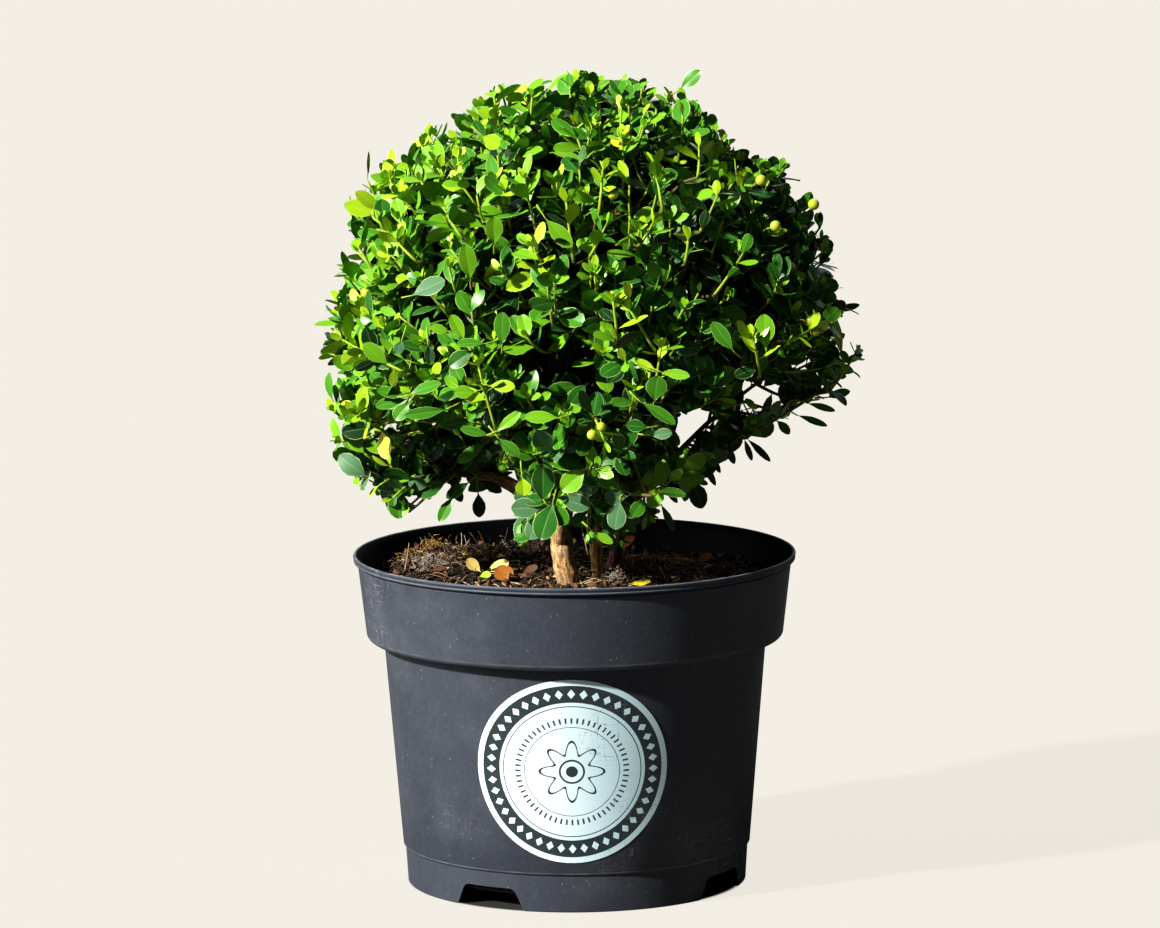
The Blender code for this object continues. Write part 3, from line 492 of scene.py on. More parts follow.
def plastic_material():
    """Satin black plastic with a slate cast: dust specks, scuffs and grain, and pale lines on its edges that are
    painted highlights.
    """
    made, graph, shader = patterned_material("pot_plastic", 0.4)
    where = graph.node("ShaderNodeTexCoord").outputs["Object"]
    parts = graph.node("ShaderNodeSeparateXYZ")
    graph.put(parts.inputs[0], where)
    height = parts.outputs[2]

    def line_at(middle, half):
        """1 on a level line round the pot, fading to 0 above and below it."""
        off = graph.math("ABSOLUTE", graph.math("SUBTRACT", height, middle))
        return graph.between(off, 0.3 * half, half, 1.0, 0.0)

    # Painted highlights: pale lines round the top bead, the lip's low bead, the heel and the collar's lower edge,
    # broken into patches.
    wear_and_painted_highlight = line_at(POT_HEIGHT, 0.5 * MM)
    for middle, half, share in (
        (POT_HEIGHT - LIP_DEPTH + 1.2 * MM, 0.5 * MM, 0.35), (HEEL_HEIGHT + 0.3 * MM, 0.5 * MM, 0.6),
        (BODY_TOP_HEIGHT + EDGE_ROUND, 0.7 * MM, 0.3),
    ):
        wear_and_painted_highlight = graph.math("MAXIMUM", wear_and_painted_highlight, graph.math("MULTIPLY", line_at(middle, half), share))
    patches = graph.between(graph.noise(where, 60.0, 3.0), 0.35, 0.65, 0.25, 1.0)
    wear_and_painted_highlight = graph.math("MULTIPLY", wear_and_painted_highlight, patches)
    wear = place_group(graph, WEAR, where)
    wear.inputs["Specks"].default_value = 0.74
    cloud = place_group(graph, GRAIN, graph.mapping(where, scale=(9.0, 9.0, 9.0)))
    fine = graph.noise(where, 1500.0, 2.0)
    shader.inputs["Specular Tint"].default_value = (0.80, 0.89, 1.0, 1.0)
    slate = graph.mix(cloud.outputs["Coarse"], (0.027, 0.031, 0.043), (0.042, 0.047, 0.064))
    streaks = graph.noise(graph.mapping(where, scale=(420.0, 420.0, 30.0)), 2.0, 4.0)
    streaked = graph.mix(graph.between(streaks, 0.5, 0.8, 0.0, 0.04), slate, (0.20, 0.21, 0.23))
    mottle = graph.between(graph.noise(where, 420.0, 5.0, 0.7), 0.45, 0.75, 0.0, 0.09)
    mottled = graph.mix(mottle, streaked, (0.20, 0.22, 0.25))
    dust_and_sheen = graph.mix(graph.math("MULTIPLY", wear.outputs["Dust"], 0.42), mottled, (0.24, 0.25, 0.27))
    scratched = graph.mix(graph.math("MULTIPLY", wear.outputs["Scratches"], 0.55), dust_and_sheen, (0.30, 0.31, 0.33))
    with_painted_highlights = graph.mix(graph.math("MULTIPLY", wear_and_painted_highlight, 0.55), scratched, (0.30, 0.33, 0.37))
    graph.put(shader.inputs["Base Color"], with_painted_highlights)
    rough = graph.between(cloud.outputs["Coarse"], 0.3, 0.7, 0.52, 0.66)
    graph.put(shader.inputs["Roughness"], graph.math("ADD", rough, graph.math("MULTIPLY", wear.outputs["Dust"], 0.2)))
    graph.put(shader.inputs["Normal"], graph.bump(fine, 0.25, 0.00008))
    return made


def label_material():
    """Printed film: silver rim, a dark band with silver lozenges, and a pale disc with a plain rosette."""
    made, graph, shader = patterned_material("label_print", 0.34)
    chart = graph.node("ShaderNodeUVMap", uv_map="disc").outputs["UV"]
    parts = graph.node("ShaderNodeSeparateXYZ")
    graph.put(parts.inputs[0], graph.mapping(chart, place=(-0.5, -0.5, 0.0)))
    across, up = parts.outputs[0], parts.outputs[1]
    square = graph.math("ADD", graph.math("MULTIPLY", across, across), graph.math("MULTIPLY", up, up))
    radius = graph.math("SQRT", square)
    angle = graph.math("ARCTAN2", up, across)

    def ring(low, high):
        """1 between two radii, 0 elsewhere."""
        return graph.math("MULTIPLY", graph.math("GREATER_THAN", radius, low), graph.math("LESS_THAN", radius, high))

    def spokes(count, share):
        """1 on this share of each of count equal sectors."""
        turn = graph.math("FRACT", graph.math("ADD", graph.math("MULTIPLY", angle, count / math.tau), 40.5))
        off = graph.math("ABSOLUTE", graph.math("SUBTRACT", turn, 0.5))
        return graph.math("LESS_THAN", off, share)

    band = ring(0.376, 0.468)
    off_middle = graph.math("ABSOLUTE", graph.math("SUBTRACT", radius, 0.422))
    lozenge_width = graph.math("SUBTRACT", 0.33, graph.math("MULTIPLY", off_middle, 13.0))
    lozenges = graph.math("MULTIPLY", spokes(44.0, lozenge_width), ring(0.398, 0.446))
    hairlines = graph.math("MAXIMUM", ring(0.352, 0.357), ring(0.240, 0.2435))
    petal = graph.math("MULTIPLY", graph.math("COSINE", graph.math("MULTIPLY", angle, 8.0)), 0.035)
    edge = graph.math("ADD", petal, 0.135)
    rosette = graph.math(
        "MULTIPLY", graph.math("LESS_THAN", radius, edge),
        graph.math("GREATER_THAN", radius, graph.math("SUBTRACT", edge, 0.013)))
    hub = graph.math("MAXIMUM", ring(0.056, 0.066), graph.math("LESS_THAN", radius, 0.030))
    ticks = graph.math("MULTIPLY", spokes(60.0, 0.16), ring(0.262, 0.292))
    dark_ink = graph.math("MAXIMUM", graph.math("SUBTRACT", band, lozenges), hairlines)
    for mark in (rosette, hub, ticks):
        dark_ink = graph.math("MAXIMUM", dark_ink, mark)
    where = graph.node("ShaderNodeTexCoord").outputs["Object"]
    wear = place_group(graph, WEAR, where)
    wear.inputs["Specks"].default_value = 0.78
    cloud = place_group(graph, GRAIN, graph.mapping(where, scale=(14.0, 14.0, 14.0)))
    # Painted sheen: the silver goes from near white on the left to a bluer grey on the right, as if lit from the left.
    sheen = graph.between(graph.math("ADD", across, graph.math("MULTIPLY", cloud.outputs["Coarse"], 0.3)), -0.2, 0.45)
    silver = graph.mix(sheen, (0.68, 0.79, 0.82), (0.52, 0.71, 0.79))
    printed = graph.mix(dark_ink, silver, (0.026, 0.038, 0.044))
    wear_and_painted_highlight = graph.mix(graph.math("MULTIPLY", wear.outputs["Scratches"], 0.8), printed, (0.16, 0.20, 0.22))
    graph.put(shader.inputs["Base Color"], wear_and_painted_highlight)
    graph.put(shader.inputs["Roughness"], graph.between(cloud.outputs["Fine"], 0.3, 0.7, 0.28, 0.44))
    graph.put(shader.inputs["Normal"], graph.bump(cloud.outputs["Fine"], 0.12, 0.0001))
    return made


def compost_material():
    """Dark fibrous compost with paler crumbs."""
    made, graph, shader = patterned_material("potting_compost", 0.95)
    where = graph.node("ShaderNodeTexCoord").outputs["Object"]
    cloud = place_group(graph, GRAIN, graph.mapping(where, scale=(20.0, 20.0, 20.0)))
    fibre = graph.noise(graph.mapping(where, scale=(90.0, 260.0, 140.0), turn=(0.2, 0.4, 0.9)), 4.0, 4.0)
    base = graph.ramp(
        cloud.outputs["Fine"], (0.36, (0.002, 0.0015, 0.001)), (0.54, (0.012, 0.007, 0.004)),
        (0.70, (0.055, 0.030, 0.015)))
    light = graph.between(fibre, 0.62, 0.72)
    graph.put(shader.inputs["Base Color"], graph.mix(graph.math("MULTIPLY", light, 0.5), base, (0.16, 0.10, 0.05)))
    shader.inputs["Specular IOR Level"].default_value = 0.2
    height = graph.math("ADD", cloud.outputs["Fine"], graph.math("MULTIPLY", fibre, 0.5))
    graph.put(shader.inputs["Normal"], graph.bump(height, 0.8, 0.0015))
    return made


def bark_material(name, pale, mid, deep):
    """Fibrous, flaking bark: its streaks run along the limb by the piece's own map."""
    made, graph, shader = patterned_material(name, 0.8)
    along = graph.node("ShaderNodeUVMap", uv_map="along").outputs["UV"]
    streak = graph.noise(graph.mapping(along, scale=(7.0, 60.0, 1.0)), 3.0, 6.0, 0.65)
    flakes = graph.noise(graph.mapping(along, scale=(3.0, 130.0, 1.0)), 2.0, 3.0)
    colour = graph.ramp(streak, (0.30, deep), (0.50, mid), (0.66, pale))
    where = graph.node("ShaderNodeTexCoord").outputs["Object"]
    cloud = place_group(graph, GRAIN, graph.mapping(where, scale=(30.0, 30.0, 30.0)))
    patch = graph.math("MULTIPLY", graph.between(cloud.outputs["Coarse"], 0.52, 0.66), 0.6)
    graph.put(shader.inputs["Base Color"], graph.mix(patch, colour, (0.16, 0.15, 0.12)))
    graph.put(shader.inputs["Roughness"], graph.between(streak, 0.3, 0.7, 0.9, 0.62))
    height = graph.math("ADD", streak, graph.math("MULTIPLY", flakes, 0.6))
    graph.put(shader.inputs["Normal"], graph.bump(height, 1.0, 0.0014))
    return made


# The pot

def arc(centre, radius, start, end, steps):
    """Points (r, z) on an arc, from one angle to another in degrees; radius is (across, up)."""
    points = []
    for step in range(steps + 1):
        angle = math.radians(start + (end - start) * step / steps)
        points.append((centre[0] + radius[0] * math.cos(angle), centre[1] + radius[1] * math.sin(angle)))
    return points


def turned(profile, segments):
    """A solid turned round the Z axis from a profile of (r, z) points that ends on the axis."""
    shape = bmesh.new()
    verts = [shape.verts.new((r, 0.0, z)) for r, z in profile]
    edges = [shape.edges.new(pair) for pair in zip(verts, verts[1:])]
    bmesh.ops.spin(
        shape, geom=verts + edges, cent=(0.0, 0.0, 0.0), axis=UP,
        angle=math.tau, steps=segments, use_merge=True,
    )
    bmesh.ops.remove_doubles(shape, verts=shape.verts, dist=0.001 * MM)
    bmesh.ops.recalc_face_normals(shape, faces=shape.faces)
    return shape


def wall_radius(height):
    """Outside radius of the pot's body at this height."""
    share = (height - HEEL_HEIGHT) / (BODY_TOP_HEIGHT - HEEL_HEIGHT)
    return HEEL_RADIUS + (BODY_TOP_RADIUS - HEEL_RADIUS) * share


def inner_wall():
    """Inside of the pot from its lip down to the floor, as (r, z) points."""
    return [
        (COLLAR_TOP_RADIUS - WALL, POT_HEIGHT - LIP_DEPTH),
        (COLLAR_LOW_RADIUS - WALL, COLLAR_LOW_HEIGHT + WALL),
        (BODY_TOP_RADIUS - WALL, BODY_TOP_HEIGHT + WALL),
        (HEEL_RADIUS - WALL, HEEL_HEIGHT),
        (FOOT_RADIUS - 1.2 * WALL, FLOOR_TOP),
        (DISH_RADIUS + WALL, FLOOR_TOP),
        (DISH_RADIUS - WALL, WALL),
    ]


def pot_profile():
    """Section of the pot's wall and floor, with the two beads of its lip, the groove and the heel."""
    edge = (COLLAR_LOW_RADIUS - EDGE_ROUND - 0.2 * MM, BODY_TOP_HEIGHT + EDGE_ROUND + 0.4 * MM)
    shoulder = [(BODY_TOP_RADIUS, BODY_TOP_HEIGHT)] + arc(edge, (EDGE_ROUND, EDGE_ROUND), -82.0, 0.0, 8)
    under_lip = [
        (COLLAR_TOP_RADIUS - 0.1 * MM, POT_HEIGHT - LIP_DEPTH - 1.6 * MM),
        (COLLAR_TOP_RADIUS - GROOVE, POT_HEIGHT - LIP_DEPTH - 0.9 * MM),
        (COLLAR_TOP_RADIUS - GROOVE, POT_HEIGHT - LIP_DEPTH - 0.1 * MM),
    ]
    low_bead = arc(
        (RIM_RADIUS - LOW_BEAD - 0.2 * MM, POT_HEIGHT - LIP_DEPTH + LOW_BEAD), (LOW_BEAD, LOW_BEAD),
        -100.0, 60.0, 8)
    top_bead = arc((RIM_RADIUS - TOP_BEAD, POT_HEIGHT - TOP_BEAD), (TOP_BEAD, TOP_BEAD), -50.0, 140.0, 10)
    lip = low_bead + top_bead
    foot_inner = FOOT_RADIUS - FOOT_WIDTH
    channel_top = FLOOR_TOP - WALL
    outline = [
        (0.0, 0.0),
        (DISH_RADIUS, 0.0),
        (DISH_RADIUS + WALL, channel_top),
        (foot_inner - WALL / 2, channel_top),
        (foot_inner, 0.0),
        (FOOT_RADIUS - WALL / 4, 0.0),
        (FOOT_RADIUS, WALL / 4),
        (HEEL_RADIUS - HEEL_STEP, HEEL_HEIGHT - HEEL_STEP),
        (HEEL_RADIUS - HEEL_STEP / 3, HEEL_HEIGHT - HEEL_STEP / 2),
        (HEEL_RADIUS, HEEL_HEIGHT),
        (wall_radius(80.0 * MM), 80.0 * MM),
    ]
    return outline + shoulder + under_lip + lip + inner_wall() + [(0.0, WALL)]


def notch_cutter(number):
    """A trapezium block with round upper corners that cuts one drainage notch."""
    turn = math.radians(NOTCH_FIRST_TURN + 360.0 * number / NOTCH_COUNT)
    overshoot = 2.0 * MM
    slope = (NOTCH_FOOT_WIDTH - NOTCH_TOP_WIDTH) / 2 / NOTCH_HEIGHT
    low = -NOTCH_FOOT_WIDTH / 2 - slope * overshoot
    high = -NOTCH_TOP_WIDTH / 2
    shape = bmesh.new()
    outer = -(FOOT_RADIUS + 3 * overshoot)
    corners = ((low, -overshoot), (-low, -overshoot), (-high, NOTCH_HEIGHT), (high, NOTCH_HEIGHT))
    face = shape.faces.new([shape.verts.new((x, outer, z)) for x, z in corners])
    pushed = bmesh.ops.extrude_face_region(shape, geom=[face])
    moved = [item for item in pushed["geom"] if isinstance(item, bmesh.types.BMVert)]
    bmesh.ops.translate(shape, verts=moved, vec=(0.0, NOTCH_DEPTH + 2 * overshoot, 0.0))
    tops = [edge for edge in shape.edges if abs(edge.verts[0].co.z - edge.verts[1].co.z) < MM
            and abs(edge.verts[0].co.x - edge.verts[1].co.x) < MM and edge.verts[0].co.z > 0.0]
    bmesh.ops.bevel(
        shape, geom=tops, offset=3.0 * MM, segments=6, profile=0.5, affect="EDGES", material=-1,
    )
    bmesh.ops.recalc_face_normals(shape, faces=shape.faces)
    bmesh.ops.rotate(shape, verts=shape.verts, cent=(0.0, 0.0, 0.0), matrix=Matrix.Rotation(turn, 3, "Z"))
    return shape


def make_pot():
    """The pot, turned finely and notched at its foot."""
    plastic = plastic_material()
    pot = bpy.data.objects.new("pot_shell", mesh_of("pot_shell", turned(pot_profile(), POT_SEGMENTS), plastic))
    bpy.context.scene.collection.objects.link(pot)
    cutters = []
    for number in range(NOTCH_COUNT):
        cutter = bpy.data.objects.new("cutter", mesh_of("cutter", notch_cutter(number), plastic))
        bpy.context.scene.collection.objects.link(cutter)
        cutters.append(cutter)
        cut = pot.modifiers.new(f"notch_{number + 1}", "BOOLEAN")
        cut.operation = "DIFFERENCE"
        cut.object = cutter
        cut.solver = "EXACT"
    graph = bpy.context.evaluated_depsgraph_get()
    mesh = bpy.data.meshes.new_from_object(pot.evaluated_get(graph))
    for spare in (pot, *cutters):
        bpy.data.objects.remove(spare, do_unlink=True)
    mesh.shade_smooth()
    mesh.set_sharp_from_angle(angle=math.radians(38.0))
    mesh.materials.append(painted_shade_inside_material())
    # Inward faces below the top bead take the inner wall's painted shade.
    for face in mesh.polygons:
        inward = face.normal.x * face.center.x + face.normal.y * face.center.y < 0.0
        if inward and WALL < face.center.z < POT_HEIGHT - TOP_BEAD:
            face.material_index = len(mesh.materials) - 1
    finished("pot_shell", mesh, "black_plastic", "pot")


def make_label():
    """The label: a thin film disc bent to the sloping wall, with a chart of its own for the print."""
    slope = math.atan2(BODY_TOP_RADIUS - HEEL_RADIUS, BODY_TOP_HEIGHT - HEEL_HEIGHT)
    rings = 18
    thickness = 0.6 * LABEL_THICKNESS
    back = [(LABEL_RADIUS * ring / rings, 0.0) for ring in range(rings + 1)]
    front = [(LABEL_RADIUS * ring / rings, thickness) for ring in range(rings - 1, -1, -1)]
    shape = turned([*back, (LABEL_RADIUS - 0.05 * MM, thickness), *front], 120)
    chart = shape.loops.layers.uv.new("disc")
    for face in shape.faces:
        for loop in face.loops:
            x, y, _ = loop.vert.co
            loop[chart].uv = (0.5 + x / (2.0 * LABEL_RADIUS), 0.5 + y / (2.0 * LABEL_RADIUS))
    for vert in shape.verts:
        across, along, proud = vert.co
        height = LABEL_HEIGHT + LABEL_LIFT + along * LABEL_TALL * math.cos(slope)
        turn = math.radians(LABEL_TURN) + across * LABEL_WIDE / wall_radius(LABEL_HEIGHT)
        radius = wall_radius(height) + 0.15 * MM + proud
        vert.co = (radius * math.sin(turn), -radius * math.cos(turn), height)
    mesh = mesh_of("label_film", shape, label_material())
    mesh.set_sharp_from_angle(angle=math.radians(40.0))
    finished("label_film", mesh, "label_film", "label")


# The compost and what lies on it

def soil_surface(x, y):
    """Height of the compost here: a heap at the back left, hollows and clods."""
    away = math.hypot(x - SOIL_HEAP_X, y - SOIL_HEAP_Y) / SOIL_HEAP_SPREAD
    heap = SOIL_HEAP * math.exp(-away * away)
    place = Vector((x, y, 0.0))
    waves = 2.2 * noise.noise(place * 38.0) + 1.5 * noise.noise(place * 110.0)
    crumbs = 1.1 * noise.noise(place * 260.0) + 0.6 * abs(noise.noise(place * 520.0))
    return SOIL_HEIGHT + heap + (waves + crumbs) * MM


def make_soil():
    """The compost: a solid turned to the pot's inside, with a rough top."""
    rim, collar_foot = inner_wall()[:2]
    share = (SOIL_HEIGHT - collar_foot[1]) / (rim[1] - collar_foot[1])
    edge = collar_foot[0] + (rim[0] - collar_foot[0]) * share
    gap = 0.35 * MM
    outline = [(0.0, WALL + gap)]
    for radius, height in [*reversed(inner_wall()[1:]), (edge, SOIL_HEIGHT)]:
        lift = gap if height <= FLOOR_TOP else 0.0
        outline.append((radius - gap, height + lift))
    rings = 84
    for ring in range(1, rings + 1):
        outline.append(((edge - gap) * (1.0 - ring / rings), SOIL_HEIGHT))
    shape = turned(outline, 300)
    for vert in shape.verts:
        if vert.co.z > SOIL_HEIGHT - MM:
            vert.co.z = soil_surface(vert.co.x, vert.co.y)
    finished("compost_fill", mesh_of("compost_fill", shape, compost_material()), "compost", "soil")


def template_of(shape):
    """Vertices and faces of a small shape, as arrays for making joined copies."""
    shape.verts.ensure_lookup_table()
    verts = np.array([vert.co[:] for vert in shape.verts])
    faces = [[vert.index for vert in face.verts] for face in shape.faces]
    slots = [face.material_index for face in shape.faces]
    shape.free()
    return verts, faces, slots


def joined_copies(name, template_faces, template_slots, clouds, *finishes):
    """One mesh from copies of a template: clouds is (copies, vertices, 3)."""
    count = clouds.shape[1]
    verts = clouds.reshape(-1, 3)
    faces = []
    for copy in range(clouds.shape[0]):
        first = copy * count
        faces.extend([[first + index for index in face] for face in template_faces])
    mesh = bpy.data.meshes.new(name)
    mesh.from_pydata(verts.tolist(), [], faces)
    for finish in finishes:
        mesh.materials.append(finish)
    mesh.polygons.foreach_set("material_index", np.tile(template_slots, clouds.shape[0]).astype(np.int32))
    mesh.shade_smooth()
    return mesh


def turned_copies(verts, places, rotations, scales):
    """Copies of a template, each scaled, turned and placed."""
    clouds = []
    for place, rotation, scale in zip(places, rotations, scales):
        clouds.append(verts * np.array(scale) @ np.array(rotation).T + np.array(place))
    return np.array(clouds)


def free_of_stems(x, y):
    """True where the compost is clear of the stems."""
    return all(math.hypot(x - foot_x * MM, y - foot_y * MM) > 7.0 * MM for foot_x, foot_y in STEM_FEET)


STEM_FEET = ((-5.0, -8.0), (16.0, 12.0), (22.0, 42.0))


def scattered(rng, count, reach):
    """Places on the compost, evenly over its disc."""
    places = []
    while len(places) < count:
        radius = reach * math.sqrt(rng.random())
        turn = rng.uniform(0.0, math.tau)
        x, y = radius * math.cos(turn), radius * math.sin(turn)
        if free_of_stems(x, y):
            places.append((x, y))
    return places


def random_turn(rng, tilt):
    """A rotation about the upright, tipped a little."""
    spin = Matrix.Rotation(rng.uniform(0.0, math.tau), 3, "Z")
    tip = Matrix.Rotation(rng.uniform(-tilt, tilt), 3, "X") @ Matrix.Rotation(rng.uniform(-tilt, tilt), 3, "Y")
    return tip @ spin


def make_crumbs(rng):
    """Crumbs, bark chips and grit on the compost, in three browns."""
    ball = bmesh.new()
    bmesh.ops.create_icosphere(ball, subdivisions=1, radius=1.0)
    for vert in ball.verts:
        vert.co *= 1.0 + 0.5 * noise.noise(vert.co * 1.7 + Vector((3.0, 1.0, 2.0)))
    verts, faces, slots = template_of(ball)
    kinds = (
        ("compost_crumbs", (0.010, 0.006, 0.004), 2200, (0.7, 2.8), 0.8),
        ("bark_chips", (0.13, 0.058, 0.028), 480, (1.2, 5.0), 0.25),
        ("tan_chips", (0.34, 0.20, 0.09), 200, (0.8, 3.2), 0.3),
        ("pale_grit", (0.55, 0.47, 0.36), 380, (0.3, 1.2), 0.6),
    )
    for name, colour, count, (small, large), flat in kinds:
        places, rotations, scales = [], [], []
        for x, y in scattered(rng, count, 120.0 * MM):
            size = rng.uniform(small, large) * rng.uniform(0.6, 1.0) * MM
            places.append((x, y, soil_surface(x, y) + 0.25 * size))
            rotations.append(random_turn(rng, 0.6 if flat > 0.5 else 1.2))
            scales.append((size, size * rng.uniform(0.35, 0.9), size * flat * rng.uniform(0.6, 1.0)))
        finish = plain_material(name, colour, 0.95)
        cloud = turned_copies(verts, places, rotations, scales)
        finished(name, joined_copies(name, faces, slots, cloud, finish), "compost")


def on_compost(across, down):
    """The point of the compost that the photograph shows at this pixel, or the nearest one inside the pot."""
    depth = -COMPOST_REACH
    point = seen_at(across, down, depth)
    while depth < COMPOST_REACH and point.z > soil_surface(point.x, point.y):
        depth += 1.0
        point = seen_at(across, down, depth)
    inward = min(COMPOST_REACH * MM / math.hypot(point.x, point.y), 1.0)
    return Vector((point.x * inward, point.y * inward, soil_surface(point.x * inward, point.y * inward)))


def tube_template(sides, rings):
    """Faces of a tube of rings, closed at both ends, and each vertex's ring and angle."""
    ring_of = np.repeat(np.arange(rings), sides)
    angle_of = np.tile(np.arange(sides) * math.tau / sides, rings)
    faces = []
    for ring in range(rings - 1):
        for side in range(sides):
            other = (side + 1) % sides
            low, high = ring * sides, (ring + 1) * sides
            faces.append([low + side, low + other, high + other, high + side])
    faces.append(list(range(sides))[::-1])
    faces.append([(rings - 1) * sides + side for side in range(sides)])
    return ring_of, angle_of, faces


def tube_clouds(curves, sides, rings):
    """Vertices of many tubes: each curve is (start, control, end, root radius, tip radius)."""
    ring_of, angle_of, faces = tube_template(sides, rings)
    start, control, end = (np.array([curve[part] for curve in curves]) for part in range(3))
    root, tip = (np.array([curve[part] for curve in curves]) for part in (3, 4))
    share = (ring_of / (rings - 1))[None, :, None]
    middle = (1 - share) ** 2 * start[:, None] + 2 * share * (1 - share) * control[:, None] + share ** 2 * end[:, None]
    heading = (1 - share) * (control - start)[:, None] + share * (end - control)[:, None]
    heading /= np.linalg.norm(heading, axis=2, keepdims=True) + 1e-12
    guide = np.where(np.abs(heading[..., 2:3]) > 0.9, np.array([1.0, 0.0, 0.0]), np.array([0.0, 0.0, 1.0]))
    side = np.cross(heading, guide)
    side /= np.linalg.norm(side, axis=2, keepdims=True) + 1e-12
    lift = np.cross(side, heading)
    radius = (root[:, None] + (tip - root)[:, None] * share[..., 0])[..., None]
    around = side * np.cos(angle_of)[None, :, None] + lift * np.sin(angle_of)[None, :, None]
    return middle + around * radius, faces


def joined_tubes(name, curves, sides, rings, finish):
    """One mesh of many tubes."""
    clouds, faces = tube_clouds(curves, sides, rings)
    return joined_copies(name, faces, [0] * len(faces), clouds, finish)


def make_straws(rng):
    """Roots, straws and moss that lie on the compost or stand out of it."""
    kinds = (
        ("dark_fibres", (0.055, 0.032, 0.018), 420, (5.0, 16.0), 0.30, 0.25),
        ("tan_fibres", (0.26, 0.16, 0.075), 300, (5.0, 17.0), 0.28, 0.35),
        ("straw_bits", (0.56, 0.44, 0.26), 170, (5.0, 17.0), 0.33, 0.45),
    )
    for name, colour, count, (short, long), thick, rise in kinds:
        curves = []
        for x, y in scattered(rng, count, 116.0 * MM):
            length = rng.uniform(short, long) * MM
            turn = rng.uniform(0.0, math.tau)
            end_x, end_y = x + length * math.cos(turn), y + length * math.sin(turn)
            if math.hypot(end_x, end_y) > 119.0 * MM:
                end_x, end_y = x - length * math.cos(turn), y - length * math.sin(turn)
            start = Vector((x, y, soil_surface(x, y)))
            lift = rng.random() ** 3 * length * rise
            end = Vector((end_x, end_y, soil_surface(end_x, end_y) + lift))
            sway = Vector((rng.uniform(-1.0, 1.0), rng.uniform(-1.0, 1.0), rng.uniform(0.2, 0.9))) * length * 0.2
            radius = thick * rng.uniform(0.6, 1.2) * MM
            curves.append((start, (start + end) / 2 + sway, end, radius, radius * 0.6))
        finish = plain_material(name, colour, 0.9)
        finished(name, joined_tubes(name, curves, 4, 5, finish), "compost")
    tufts = {"gold_moss": [], "grey_fluff": [], "brown_fluff": []}
    for kind, home_x, home_y, spread, count in TUFTS:
        for _ in range(count):
            x = (home_x + rng.gauss(0.0, spread)) * MM
            y = (home_y + rng.gauss(0.0, spread)) * MM
            if math.hypot(x, y) > 117.0 * MM:
                continue
            clod = noise.noise(Vector((x, y, 0.0)) * 330.0)
            if clod < -0.05:
                continue
            heap = rng.uniform(0.0, 3.0 + 9.0 * clod) * MM
            start = Vector((x, y, soil_surface(x, y) + heap))
            lean = Vector((rng.gauss(0.0, 1.0), rng.gauss(0.0, 1.0), rng.uniform(0.0, 1.2))).normalized()
            end = start + lean * rng.uniform(1.5, 4.5) * MM
            bow = Vector((rng.gauss(0.0, 1.0), rng.gauss(0.0, 1.0), rng.gauss(0.5, 0.6))) * MM
            tufts[kind].append((start, (start + end) / 2 + bow, end, 0.24 * MM, 0.12 * MM))
    colours = (("gold_moss", (0.40, 0.26, 0.06)), ("grey_fluff", (0.34, 0.29, 0.24)), ("brown_fluff", (0.15, 0.085, 0.04)))
    for kind, colour in colours:
        finish = plain_material(kind, colour, 0.85)
        finished(kind, joined_tubes(kind, tufts[kind], 3, 4, finish), "compost")
    dry = []
    for foot_x, foot_y, tip_x, tip_y in STALKS:
        start = on_compost(foot_x, foot_y)
        depth = start.y / MM
        end = start + seen_at(tip_x, tip_y, depth) - seen_at(foot_x, foot_y, depth)
        dry.append((start - UP * MM, (start + end) / 2 + mm(0.7, 0.5, 0.0), end, 0.45 * MM, 0.2 * MM))
    dry.append((mm(3.0, -13.0, 178.0), mm(9.0, -5.0, 177.5), mm(17.0, 8.0, 181.0), 0.6 * MM, 0.35 * MM))
    dry.append((mm(2.5, -22.0, 218.0), mm(5.0, -19.0, 212.0), mm(8.0, -20.0, 196.0), 0.55 * MM, 0.4 * MM))
    finish = plain_material("dry_stalks", (0.42, 0.30, 0.19), 0.8)
    finished("dry_stalks", joined_tubes("dry_stalks", dry, 5, 5, finish), "compost")


# Tufts on the compost (kind, x, y, spread and strands) and dry stalks (x, y, lean and rise), in millimetres
TUFTS = (
    ("gold_moss", -86.0, 64.0, 3.0, 200), ("gold_moss", -61.0, 42.0, 2.5, 120), ("gold_moss", -100.0, 50.0, 4.0, 60),
    ("grey_fluff", -86.0, 27.0, 6.0, 420), ("grey_fluff", 24.0, -4.0, 3.0, 150), ("grey_fluff", -30.0, 88.0, 6.0, 150),
    ("gold_moss", 78.0, -30.0, 5.0, 120), ("gold_moss", 62.0, 58.0, 4.0, 120),
    ("brown_fluff", -75.0, 45.0, 26.0, 1100), ("brown_fluff", 20.0, 60.0, 34.0, 700), ("brown_fluff", 30.0, -20.0, 50.0, 600),
)
STALKS = (
    (428, 538, 428, 523), (483, 553, 470, 533), (487, 549, 478, 531), (502, 549, 508, 527), (404, 572, 409, 543),
    (434, 546, 441, 538), (468, 553, 464, 535), (452, 549, 446, 540), (640, 560, 646, 548), (668, 566, 660, 556),
)


# Leaves

LEAF_RIB = 0.055
LEAF_MARGIN = 0.93
LEAF_COLUMNS = (-1.0, -LEAF_MARGIN, -LEAF_RIB, LEAF_RIB, LEAF_MARGIN, 1.0)
LEAF_ROWS = (0.0, 0.10, 0.26, 0.46, 0.66, 0.84, 0.95, 1.0)
PETIOLE = 0.09
BROADEST = 0.52


def leaf_outline(along):
    """Half width of the leaf, as a share of its greatest, this far along it."""
    if along <= PETIOLE:
        return 0.07
    share = (along - PETIOLE) / (1.0 - PETIOLE)
    if share < BROADEST:
        return max(math.sin(math.pi / 2 * share / BROADEST) ** 1.05, 0.10)
    return max((1.0 - ((share - BROADEST) / (1.0 - BROADEST)) ** 2.3) ** 0.60, 0.12)


